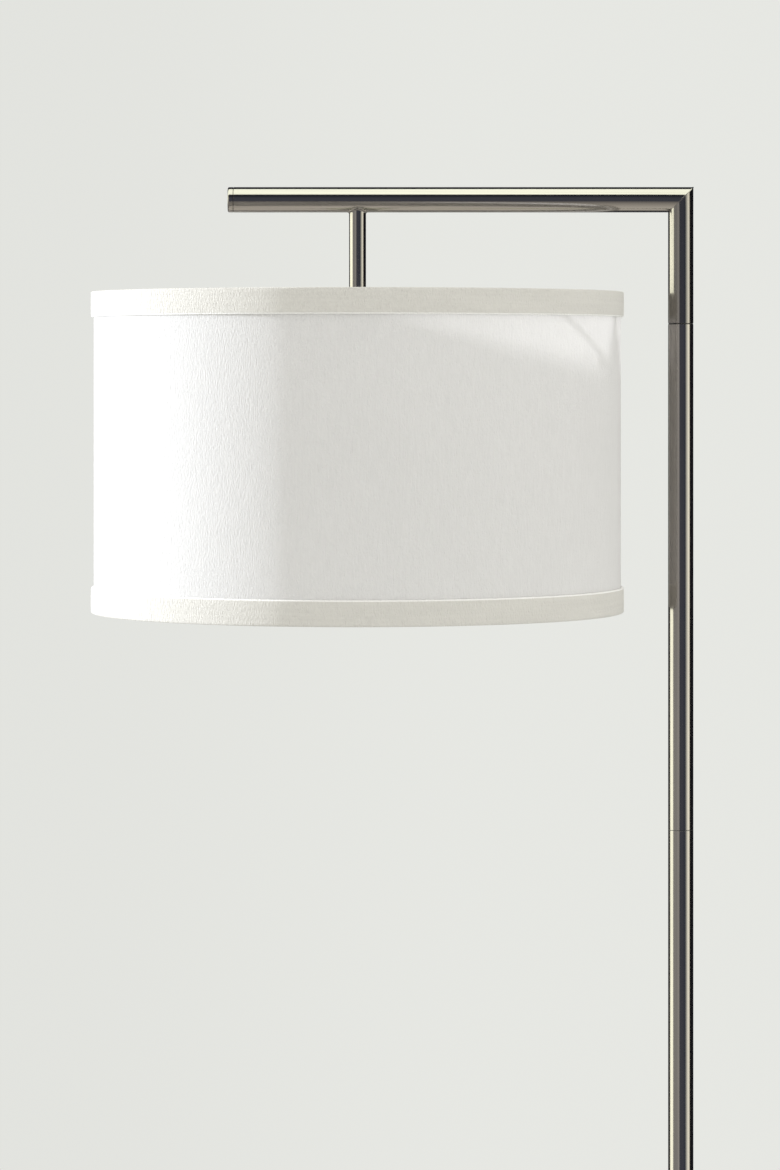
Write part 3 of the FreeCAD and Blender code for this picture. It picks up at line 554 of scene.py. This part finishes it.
LAP_WIDTH = 12 * MM
LAP_CLIMB_EARLY, LAP_CLIMB = 0.004, 0.006
SHEET_COLUMNS, SHEET_ROWS = 384, 16
CLOTH_SLACK, TAPE_SLACK = 0.07 * MM, 0.05 * MM
CLOTH_INSET, CLOTH_LAP = 0.25 * MM, 0.45 * MM
LINER_INSET, LINER_LAP = 0.6 * MM, -0.4 * MM
# (height, waves in a turn, start of the wave)
DRUM_WAVES = ((1.0, 3, 0.7), (0.6, 7, 2.1))


def slack(angle, amount):
    """The small long waves of a hand-made drum."""
    return amount * sum(height * math.sin(count * angle + start) for height, count, start in DRUM_WAVES)


def on_drum(radius, angle, height):
    """A point on a drum about the shade's axis, at an angle from the front."""
    return (STEM_X + radius * math.sin(angle), -radius * math.cos(angle), height)


def lapped_sheet(name, radius, slot_name, node, lap):
    """A sheet rolled into a drum, its end lapped over its start at the back.

    lap is how far out the end lies over the start, or in when it's below 0."""
    shape = bmesh.new()
    uv_layer = shape.loops.layers.uv.new("UVMap")
    whole_turn = TURN + LAP_WIDTH / radius
    levels = steps_between(CLOTH_LOW.z, CLOTH_HIGH.z, SHEET_ROWS)
    grid = []
    for column in range(SHEET_COLUMNS + 1):
        turn = whole_turn * column / SHEET_COLUMNS
        climbed = clamped((turn - TURN + LAP_CLIMB_EARLY) / LAP_CLIMB)
        angle = math.pi + turn
        out = radius + slack(angle, CLOTH_SLACK) + lap * climbed
        grid.append([shape.verts.new(on_drum(out, angle, level)) for level in levels])
    run = whole_turn * radius / SHEET_COLUMNS
    rise = (CLOTH_HIGH.z - CLOTH_LOW.z) / SHEET_ROWS
    for column in range(SHEET_COLUMNS):
        for row in range(SHEET_ROWS):
            corners = ((column, row), (column + 1, row), (column + 1, row + 1), (column, row + 1))
            smooth_face(shape, [grid[across][up] for across, up in corners], uv_layer,
                        [(across * run, up * rise) for across, up in corners])
    piece = make_piece(name, shape, "arm", slot_name)
    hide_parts(node)
    return piece


TAPE_STEPS = 320
TAPE_PLAY = 0.05 * MM
TAPE_DEPTH = 7.4 * MM
TAPE_FOLD = 1.1 * MM
TAPE_FOLD_ANGLES = (10, 35, 60, 80)
TAPE_CROWN = (0.35, 0.65)
# (in from the outer face, up from the free edge)
TAPE_FREE_EDGE = ((1.0 * MM, 0.0), (0.55 * MM, 0.25 * MM), (0.25 * MM, 0.9 * MM), (0.12 * MM, 2.2 * MM))
# (in from the outer face, down from the fold)
TAPE_SHOULDER = (0.1 * MM, 2.6 * MM)
# (out from the inner face, down from the fold)
TAPE_INNER_FACE = ((1.6 * MM, 0.0), (0.6 * MM, 0.4 * MM), (0.0, 1.4 * MM), (0.0, 8 * MM), (0.4 * MM, 9 * MM),
                   (1.2 * MM, 9 * MM), (1.2 * MM, 2.4 * MM))
# (out from the cloth, down from the fold)
TAPE_HOLLOW = ((-1.2 * MM, 0.9 * MM), (TAPE_PLAY, 1.4 * MM))


def tape_outline(width):
    """The tape's section as (radius, height above its free edge), with its fold at the top."""
    inner = TRIM_RADIUS - TAPE_DEPTH
    fold_middle = TRIM_RADIUS - TAPE_FOLD
    shoulder_inset, shoulder_drop = TAPE_SHOULDER
    outline = [(CLOTH_RADIUS + TAPE_PLAY, TAPE_PLAY)]
    outline += [(TRIM_RADIUS - inset, height) for inset, height in TAPE_FREE_EDGE]
    outline += [(TRIM_RADIUS, width * share) for share in TAPE_CROWN]
    outline.append((TRIM_RADIUS - shoulder_inset, width - shoulder_drop))
    for degrees in TAPE_FOLD_ANGLES:
        angle = math.radians(degrees)
        radius = fold_middle + TAPE_FOLD * math.cos(angle)
        outline.append((radius, width - TAPE_FOLD * (1 - math.sin(angle))))
    outline += [(inner + out, width - down) for out, down in TAPE_INNER_FACE]
    outline += [(CLOTH_RADIUS + out, width - down) for out, down in TAPE_HOLLOW]
    return outline


def tape(name, node, rim, up):
    """A tape folded over a rim wire: a puffed outer face, a round fold and a shorter inner face.

    up is 1 for the top rim and -1 for the bottom one."""
    width = TRIM_TOP_HIGH.z - TRIM_TOP_LOW.z
    outline = [(radius, rim + up * (height - width)) for radius, height in tape_outline(width)]
    lengths = [0.0]
    for before, after in zip(outline, outline[1:] + outline[:1]):
        lengths.append(lengths[-1] + math.dist(before, after))
    shape = bmesh.new()
    uv_layer = shape.loops.layers.uv.new("UVMap")
    rings = []
    for step in range(TAPE_STEPS):
        angle = TURN * step / TAPE_STEPS
        out = slack(angle, TAPE_SLACK)
        rings.append([shape.verts.new(on_drum(radius + out, angle, height)) for radius, height in outline])
    run = TURN * TRIM_RADIUS / TAPE_STEPS
    for step, (near, far) in enumerate(zip(rings, rings[1:] + rings[:1])):
        for number in range(len(outline)):
            following = (number + 1) % len(outline)
            smooth_face(shape, (near[number], far[number], far[following], near[following]), uv_layer, (
                (step * run, lengths[number]), ((step + 1) * run, lengths[number]),
                ((step + 1) * run, lengths[number + 1]), (step * run, lengths[number + 1])))
    piece = make_piece(name, shape, "arm", "shade_trim", crease=TAPE_CREASE)
    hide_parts(node)


def make_shade():
    cloth = lapped_sheet("shade_cloth", CLOTH_RADIUS - CLOTH_INSET, "shade_fabric", "shade_fabric", CLOTH_LAP)
    lining = lapped_sheet("shade_lining", LINER_RADIUS - LINER_INSET, "shade_liner", "shade_liner", LINER_LAP)
    tape("shade_tape_top", "shade_trim_top", SHADE_TOP, 1)
    tape("shade_tape_bottom", "shade_trim_bottom", SHADE_FOOT, -1)


# ---- metal details --------------------------------------------------------------------------------

TUBE_WALL = 1.2 * MM
TUBE_EDGE = 0.25 * MM
TUBE_SIDES, ROUND_SIDES, MITRE_SIDES = 128, 96, 120
ARM_STEPS, LEG_STEPS = 12, 8
PLAY = 0.05 * MM
AXIS_HOLE = 0.05 * MM
JUST_UNDER = 0.03 * MM


def make_arm_tube():
    """The level tube, from its mitre to the end cap's seam."""
    bore = TUBE_RADIUS - TUBE_WALL

    def section(turn):
        up = math.sin(turn)
        outside = steps_between(POLE_X + TUBE_RADIUS * up, ARM_END + 2 * TUBE_EDGE, ARM_STEPS)
        profile = [(along, TUBE_RADIUS) for along in outside]
        profile += [(ARM_END + TUBE_EDGE, TUBE_RADIUS), (ARM_END, TUBE_RADIUS - TUBE_EDGE), (ARM_END, bore)]
        profile.append((POLE_X + bore * up, bore))
        return level_section(profile, turn)

    arm = closed_loft("arm_level_tube", section, TUBE_SIDES, "arm", "nickel", ARM_FINISH)
    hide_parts("arm_tube")


def make_elbow_leg():
    """The upright tube, from its mitre to the swivel's seam."""
    foot = LEG_LOW.z
    bore = half_width("swivel_spigot") + PLAY

    def section(turn):
        side = math.cos(turn)
        outside = steps_between(AXIS_HEIGHT + TUBE_RADIUS * side, foot + 2 * TUBE_EDGE, LEG_STEPS)
        profile = [(TUBE_RADIUS, height) for height in outside]
        profile += [(TUBE_RADIUS, foot + TUBE_EDGE), (TUBE_RADIUS - TUBE_EDGE, foot), (bore, foot)]
        profile.append((bore, AXIS_HEIGHT + bore * side))
        return upright_section(POLE_X, profile, turn)

    leg = closed_loft("elbow_upright_tube", section, TUBE_SIDES, "arm", "nickel", DIMMED_LEG_FINISH)
    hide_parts("elbow_leg")


def make_painted_seam_shadows():
    """A dark ring in the hairline where each pole section screws down on the one below: painted shade
    standing for the shadow in the seam's groove.
    """
    half = 0.22 * MM
    reach, bore = TUBE_RADIUS - JUST_UNDER, TUBE_RADIUS - 0.3 * MM
    for number in (2, 3, 4):
        node = f"pole_section_{number}"
        seam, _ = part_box(node)
        ring = [(reach, seam.z - half), (reach, seam.z + half), (bore, seam.z + half), (bore, seam.z - half)]
        closed_loft(f"painted_seam_shadow_{number}", partial(upright_section, POLE_X, ring), ROUND_SIDES,
                    NODES[node]["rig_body"], "nylon")


def make_end_cap():
    """The turned plug in the arm's open end, with a rounded face and a fine groove at the seam."""
    low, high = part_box("arm_end_cap")
    plug, rim = TUBE_RADIUS - TUBE_WALL - PLAY, TUBE_RADIUS - 0.05 * MM
    groove_floor, groove_edge, land = TUBE_RADIUS - 0.5 * MM, TUBE_RADIUS - 0.08 * MM, TUBE_RADIUS - 0.02 * MM
    groove_end, land_start = ARM_END - 0.3 * MM, ARM_END - 0.5 * MM
    round_off, round_steps = 1.1 * MM, 6
    flat_radius, flat_sink, middle_sink = 4 * MM, 0.05 * MM, 0.06 * MM
    profile = [(high.x, plug), (ARM_END, plug), (ARM_END, groove_floor), (groove_end, groove_edge),
               (land_start, land)]
    for angle in steps_between(0, TURN / 4, round_steps):
        profile.append((low.x + round_off * (1 - math.sin(angle)), rim - round_off * (1 - math.cos(angle))))
    profile += [(low.x + flat_sink, flat_radius), (low.x + middle_sink, AXIS_HOLE), (high.x, AXIS_HOLE)]
    section = partial(level_section, profile)
    cap = closed_loft("arm_end_plug", section, ROUND_SIDES, "arm", "nickel", ARM_FINISH)
    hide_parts("arm_end_cap")


def under_arm(across, depth):
    """The point of the arm's underside at a place from the stem's axis."""
    return Vector((STEM_X + across, depth, AXIS_HEIGHT - math.sqrt(TUBE_RADIUS ** 2 - depth ** 2)))


def make_stem_weld():
    """The small hollow fillet where the stem meets the arm's underside."""
    stem = half_width("drop_stem")
    leg, steps = 1.7 * MM, 6
    inner, buried = stem - 0.4 * MM, 0.3 * MM

    def section(turn):
        side, depth = math.cos(turn), math.sin(turn)
        corner = under_arm(stem * side, stem * depth)
        far = under_arm((stem + leg) * side, (stem + leg) * depth)
        low = corner - Vector((0, 0, leg))
        curve = [Vector((STEM_X + inner * side, inner * depth, corner.z + buried))]
        for share in steps_between(0, 1, steps):
            curve.append(far * (1 - share) ** 2 + corner * 2 * share * (1 - share) + low * share ** 2)
        return curve

    closed_loft("stem_weld", section, ROUND_SIDES, "arm", "nickel", DIMMED_STEM_FINISH)


def make_mitre_weld():
    """The ground bead along the mitre of the elbow."""
    corner = Vector((POLE_X, 0, AXIS_HEIGHT))
    across = Vector((1, 0, -1)).normalized()
    width, height, sides = 0.4 * MM, 0.12 * MM, 8

    def section(turn):
        out = Vector((math.cos(turn), math.sin(turn), math.cos(turn)))
        spot = corner + out * (TUBE_RADIUS - JUST_UNDER)
        bead = []
        for step in range(sides):
            angle = TURN * step / sides
            bead.append(spot + out.normalized() * height * math.cos(angle) + across * width * math.sin(angle))
        return bead

    closed_loft("mitre_weld", section, MITRE_SIDES, "arm", "nickel", DIMMED_LEG_FINISH)


def ripple(turns):
    """Goes from 0 to 1 and back once in each turn of an angle."""
    return 0.5 - 0.5 * math.cos(turns)


def make_ring_nut():
    """The shade's ring nut, with finger ribs round its rim."""
    low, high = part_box("shade_ring_nut")
    outer, bore = half_width("shade_ring_nut"), 19.7 * MM
    edge, rib_depth, ribs, rows, sides_per_rib = 0.8 * MM, 0.45 * MM, 48, 6, 8
    rim = steps_between(low.z + edge, high.z - edge, rows)

    def section(turn):
        groove = rib_depth * ripple(ribs * turn)
        ring = [(outer - edge, low.z), (outer - edge / 4, low.z + edge / 2)]
        ring += [(outer - groove, height) for height in rim]
        ring += [(outer - edge / 4, high.z - edge / 2), (outer - edge, high.z), (bore, high.z), (bore, low.z)]
        return upright_section(STEM_X, ring, turn)

    nut = closed_loft("ring_nut", section, ribs * sides_per_rib, "arm", "socket_metal")
    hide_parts("shade_ring_nut")


# (in from the flutes, back from the front)
KNOB_CROWN = ((0.0, 1.8 * MM), (0.35 * MM, 0.8 * MM))
# (in from the brim, back from the front)
KNOB_DISH = ((1.1 * MM, 0.15 * MM), (1.8 * MM, 0.0), (3.0 * MM, 0.3 * MM))


def make_knob():
    """The switch's fluted knob, with a raised pointer line across its face."""
    low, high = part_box("switch_knob")
    radius, length = (high.x - low.x) / 2, high.y - low.y
    centre = Vector((STEM_X, high.y, (low.z + high.z) / 2))
    flutes, sides_per_flute, flute_depth = 18, 8, 0.32 * MM
    hole, neck, skirt = 2.9 * MM, 4.3 * MM, radius - 0.3 * MM
    neck_end, skirt_end, brim_end, flutes_start = 3.3 * MM, 3.9 * MM, 4.5 * MM, 5.0 * MM
    _, dish_depth = KNOB_DISH[-1]
    face, hole_end = length - dish_depth, length - 2 * MM

    def section(turn):
        fluted = radius - flute_depth * ripple(flutes * turn)
        profile = [(hole, 0.0), (neck, 0.0), (neck, neck_end), (skirt, skirt_end), (radius, brim_end),
                   (fluted, flutes_start)]
        profile += [(fluted - inset, length - back) for inset, back in KNOB_CROWN]
        profile += [(radius - inset, length - back) for inset, back in KNOB_DISH]
        profile += [(AXIS_HOLE, face), (AXIS_HOLE, hole_end), (hole, hole_end)]
        side, up = math.cos(turn), math.sin(turn)
        return [centre + Vector((reach * side, -along, reach * up)) for reach, along in profile]

    knob = closed_loft("fluted_knob", section, flutes * sides_per_flute, "switch", "phenolic")
    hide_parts("switch_knob")
    make_pointer(centre, face)


def make_pointer(centre, face):
    """The raised bar from the middle of the knob's face to its rim."""
    width, thickness, length, start = 0.7 * MM, 0.5 * MM, 2.5 * MM, 0.6
    bar = bmesh.new()
    for vert in bmesh.ops.create_cube(bar, size=1.0)["verts"]:
        across, along, up = vert.co
        vert.co = centre + Vector((across * width, along * thickness - face, (up + start) * length))
    make_piece("knob_pointer", bar, "switch", "white_wire")


def make_bulb_cap():
    """The bulb's rolled screw cap, with its round thread."""
    low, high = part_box("bulb_cap")
    radius = half_width("bulb_cap")
    pitch, depth, wall, lead_in, neck = 3.63 * MM, 0.85 * MM, 0.3 * MM, 2 * MM, 4.6 * MM
    shoulder, thread_start, rows = high.z - 2.2 * MM, low.z + 3.4 * MM, 60
    levels = steps_between(low.z, shoulder, rows)

    def thread(turn, level):
        fade = clamped((level - thread_start) / lead_in) * clamped((shoulder - level) / lead_in)
        return depth * fade * ripple(TURN * level / pitch + turn)

    def section(turn):
        ring = [(radius - thread(turn, level), level) for level in levels]
        ring += [(radius - lead_in, high.z), (neck, high.z)]
        ring += [(neck, high.z - wall), (radius - lead_in, high.z - wall)]
        ring += [(radius - wall - thread(turn, level), level) for level in reversed(levels)]
        return upright_section(STEM_X, ring, turn)

    cap = closed_loft("bulb_screw_cap", section, ROUND_SIDES, "bulb", "bulb_cap")
    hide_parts("bulb_cap")


# ---- floor ----------------------------------------------------------------------------------------

FLOOR_RADIUS, FLOOR_SIDES, FLOOR_SINK = 4.4, 96, 0.2 * MM
FLOOR_COLOUR = (0.545, 0.548, 0.53)
FLOOR_FADE = (1.0, 4.3)


def make_floor():
    """A pale round floor that fades into the surroundings, and is clear from below."""
    bpy.ops.mesh.primitive_circle_add(vertices=FLOOR_SIDES, radius=FLOOR_RADIUS, fill_type="NGON",
                                      location=(0, 0, -FLOOR_SINK))
    floor = bpy.context.object
    floor.name = "floor"
    material, tree, shader = new_material("pale_floor", {
        "Base Color": opaque(FLOOR_COLOUR),
        "Roughness": 0.7,
    })
    source = tree.nodes.new("ShaderNodeTexCoord")
    reach = tree.nodes.new("ShaderNodeVectorMath")
    reach.operation = "LENGTH"
    link(tree, source.outputs["Object"], reach.inputs[0])
    side = tree.nodes.new("ShaderNodeNewGeometry")
    faded = smooth_step(tree, reach.outputs["Value"], *FLOOR_FADE)
    share = calc(tree, "MAXIMUM", faded, side.outputs["Backfacing"])
    output_mix(tree, share, shader, tree.nodes.new("ShaderNodeBsdfTransparent"))
    floor.data.materials.append(material)
    floor.visible_glossy = False


# ---- surroundings ---------------------------------------------------------------------------------

# What the camera sees behind the lamp: a plain backdrop, slightly darker on the left.
BACKDROP, BACKDROP_LEFT = (0.795, 0.803, 0.768), (0.765, 0.772, 0.738)
BACKDROP_CHANGE = (-0.09, 0.03)

# What polished surfaces meet. Places round the studio are compass turns in degrees, with 0 towards the
# camera and 90 to the right, and heights are the upward part of a direction.
WINDOW_HIGH, WINDOW_LOW = (4.7, 4.85, 4.1), (3.8, 3.95, 3.35)
WINDOW_HIGH_SPAN, WINDOW_LOW_SPAN = (-119, -75), (-113, -82)
WINDOW_CHANGE = (-0.04, 0.0)
WALL, WALL_EDGE = (0.74, 0.74, 0.73), (0.95, 0.94, 0.92)
DARK, DARKER = (0.15, 0.165, 0.22), (0.10, 0.12, 0.18)
CARD, CARD_EDGE = (2.95, 2.95, 2.6), (1.9, 1.95, 1.75)
FLAG, FLAG_BACK, LEFT_BACK = (0.012, 0.012, 0.02), (0.05, 0.05, 0.06), (0.12, 0.12, 0.12)
CEILING, CEILING_CHANGE = (0.035, 0.04, 0.06), (0.15, 0.66)
GROUND = [(0.3, (0.40, 0.39, 0.39)), (0.7, (0.85, 0.82, 0.75)), (1.0, (1.35, 1.31, 1.20))]
GROUND_CHANGE = (-0.34, -0.24)
GROUND_BEHIND, BEHIND_CHANGE = (0.12, 0.12, 0.13), (0.40, 0.52)

# The overhead panel, as places on a ceiling one unit up.
PANEL = (3.75, 4.0, 3.5)
PANEL_DEPTH, PANEL_BLUR = (-0.93, 0.40), 0.06
PANEL_SIDE_FADE = (2.2, 2.6)
PANEL_RISE_FADE = (0.2, 0.3)
LEAST_RISE = 0.05

# What matt surfaces meet: levels of an even warm white, by compass turn.
FILL_COLOUR = (0.99, 0.987, 0.958)
FILL_LEVELS = [
    (-180, 0.75), (-140, 1.03), (35, 1.03), (55, 1.39), (94, 1.39), (107, 1.0), (160, 0.8), (180, 0.75),
]
FILL_OVERHEAD, OVERHEAD_CHANGE = 1.35, (0.55, 0.9)


def compass(stops):
    """Stops by compass turn as stops of a colour ramp, where 0.5 is towards the camera."""
    return [((turn + 180) / 360, colour) for turn, colour in stops]


def studio_around(window, span):
    """The studio's stops round the compass, with a window over a span of it."""
    back, front = span
    fade_in, fade_out = 5, 7
    return [
        (-180, FLAG_BACK), (-150, LEFT_BACK), (back - fade_in, LEFT_BACK), (back, window), (front, window),
        (front + fade_out, WALL), (-36, WALL), (-30, WALL_EDGE), (-20, WALL_EDGE), (-13, DARK), (18, DARK),
        (30, DARKER), (38, DARKER), (58, CARD_EDGE), (66, CARD), (80, CARD), (87, FLAG), (150, FLAG),
        (180, FLAG_BACK),
    ]


def panel_share(tree, side, depth, height):
    """1 where a direction meets the overhead panel."""
    rise = calc(tree, "MAXIMUM", height, LEAST_RISE)
    back = calc(tree, "DIVIDE", depth, rise)
    across = calc(tree, "ABSOLUTE", calc(tree, "DIVIDE", side, rise))
    within_sides = calc(tree, "SUBTRACT", 1.0, smooth_step(tree, across, *PANEL_SIDE_FADE))
    share = calc(tree, "MULTIPLY", band(tree, back, *PANEL_DEPTH, PANEL_BLUR), within_sides)
    return calc(tree, "MULTIPLY", share, smooth_step(tree, height, *PANEL_RISE_FADE))


def studio_colour(tree, place, side, depth, height):
    """A window on the left, a card on the right, a panel overhead and dark between them."""
    low_around = ramp(tree, place, compass(studio_around(WINDOW_LOW, WINDOW_LOW_SPAN)))
    high_around = ramp(tree, place, compass(studio_around(WINDOW_HIGH, WINDOW_HIGH_SPAN)))
    around = mix_colours(tree, smooth_step(tree, height, *WINDOW_CHANGE), low_around, high_around)
    upper = mix_colours(tree, smooth_step(tree, height, *CEILING_CHANGE), around, opaque(CEILING))
    ground = ramp(tree, calc(tree, "MULTIPLY", height, -1.0), GROUND)
    behind = smooth_step(tree, depth, *BEHIND_CHANGE)
    ground = mix_colours(tree, behind, ground, opaque(GROUND_BEHIND))
    room = mix_colours(tree, smooth_step(tree, height, *GROUND_CHANGE), ground, upper)
    return mix_colours(tree, panel_share(tree, side, depth, height), room, opaque(PANEL))


def fill_colour(tree, place, height):
    """An even soft light, brighter from overhead and from the right."""
    stops = [(turn, dimmed(FILL_COLOUR, level)) for turn, level in FILL_LEVELS]
    around = ramp(tree, place, compass(stops))
    overhead = opaque(dimmed(FILL_COLOUR, FILL_OVERHEAD))
    return mix_colours(tree, smooth_step(tree, height, *OVERHEAD_CHANGE), around, overhead)


def make_surroundings():
    """What each kind of ray meets: the camera a plain backdrop, matt surfaces a soft even fill, and
    polished ones a studio."""
    world = bpy.data.worlds.new("studio")
    bpy.context.scene.world = world
    world.use_nodes = True
    tree = world.node_tree
    source = tree.nodes.new("ShaderNodeTexCoord")
    split = tree.nodes.new("ShaderNodeSeparateXYZ")
    link(tree, source.outputs["Generated"], split.inputs[0])
    side, depth, height = split.outputs
    turn = calc(tree, "ARCTAN2", side, calc(tree, "MULTIPLY", depth, -1.0))
    place = calc(tree, "MULTIPLY_ADD", turn, 1 / TURN, 0.5)
    path = tree.nodes.new("ShaderNodeLightPath")
    fill = fill_colour(tree, place, height)
    studio = studio_colour(tree, place, side, depth, height)
    lit_by = mix_colours(tree, path.outputs["Is Glossy Ray"], fill, studio)
    change = smooth_step(tree, side, *BACKDROP_CHANGE)
    backdrop = mix_colours(tree, change, opaque(BACKDROP_LEFT), opaque(BACKDROP))
    seen = mix_colours(tree, path.outputs["Is Camera Ray"], lit_by, backdrop)
    link(tree, seen, tree.nodes["Background"].inputs["Color"])


# ---- key light and camera -------------------------------------------------------------------------

KEY_TURN, KEY_RISE = math.radians(-104.7), math.radians(8.3)
KEY_ENERGY, KEY_ANGLE, KEY_COLOUR = 5.25, math.radians(3.5), (0.96, 1.0, 1.08)


def make_key():
    """The hard low key light from the left, a little behind the shade."""
    towards = Vector((math.sin(KEY_TURN) * math.cos(KEY_RISE), -math.cos(KEY_TURN) * math.cos(KEY_RISE),
                      math.sin(KEY_RISE)))
    light = bpy.data.lights.new("key", "SUN")
    light.energy = KEY_ENERGY
    light.angle = KEY_ANGLE
    light.color = KEY_COLOUR
    key = bpy.data.objects.new("key", light)
    key.visible_glossy = False
    key.rotation_mode = "QUATERNION"
    key.rotation_quaternion = towards.to_track_quat("Z", "Y")
    bpy.context.scene.collection.objects.link(key)


EYE_LEFT_OF_POLE = 218.6 * MM
EYE_BELOW_TOP = 139 * MM
EYE_DISTANCE = 3.2
# In millimetres, as the camera takes them.
SENSOR_WIDTH, FOCAL_LENGTH = 36, 130.953846
# How far the view is shifted down, as a share of the picture's longer side.
VIEW_DROP = 0.18205128
NEAREST, FARTHEST = 0.05, 100


def make_camera():
    """A level camera at the shade's height, with its view shifted down to frame the lamp's upper part."""
    lens = bpy.data.cameras.new("camera")
    lens.sensor_width = SENSOR_WIDTH
    lens.lens = FOCAL_LENGTH
    lens.shift_y = -VIEW_DROP
    lens.clip_start, lens.clip_end = NEAREST, FARTHEST
    camera = bpy.data.objects.new("camera", lens)
    camera.location = (POLE_X - EYE_LEFT_OF_POLE, -EYE_DISTANCE, LAMP_TOP - EYE_BELOW_TOP)
    camera.rotation_euler = (math.pi / 2, 0, 0)
    bpy.context.scene.collection.objects.link(camera)
    bpy.context.scene.camera = camera


def make_stage():
    bpy.context.scene.view_settings.view_transform = "Standard"
    make_floor()
    make_surroundings()
    make_key()
    make_camera()


make_stage()
dress_cad_nodes()
make_shade()
make_arm_tube()
make_elbow_leg()
make_painted_seam_shadows()
make_end_cap()
make_stem_weld()
make_mitre_weld()
make_ring_nut()
make_knob()
make_bulb_cap()

bpy.context.view_layer.update()
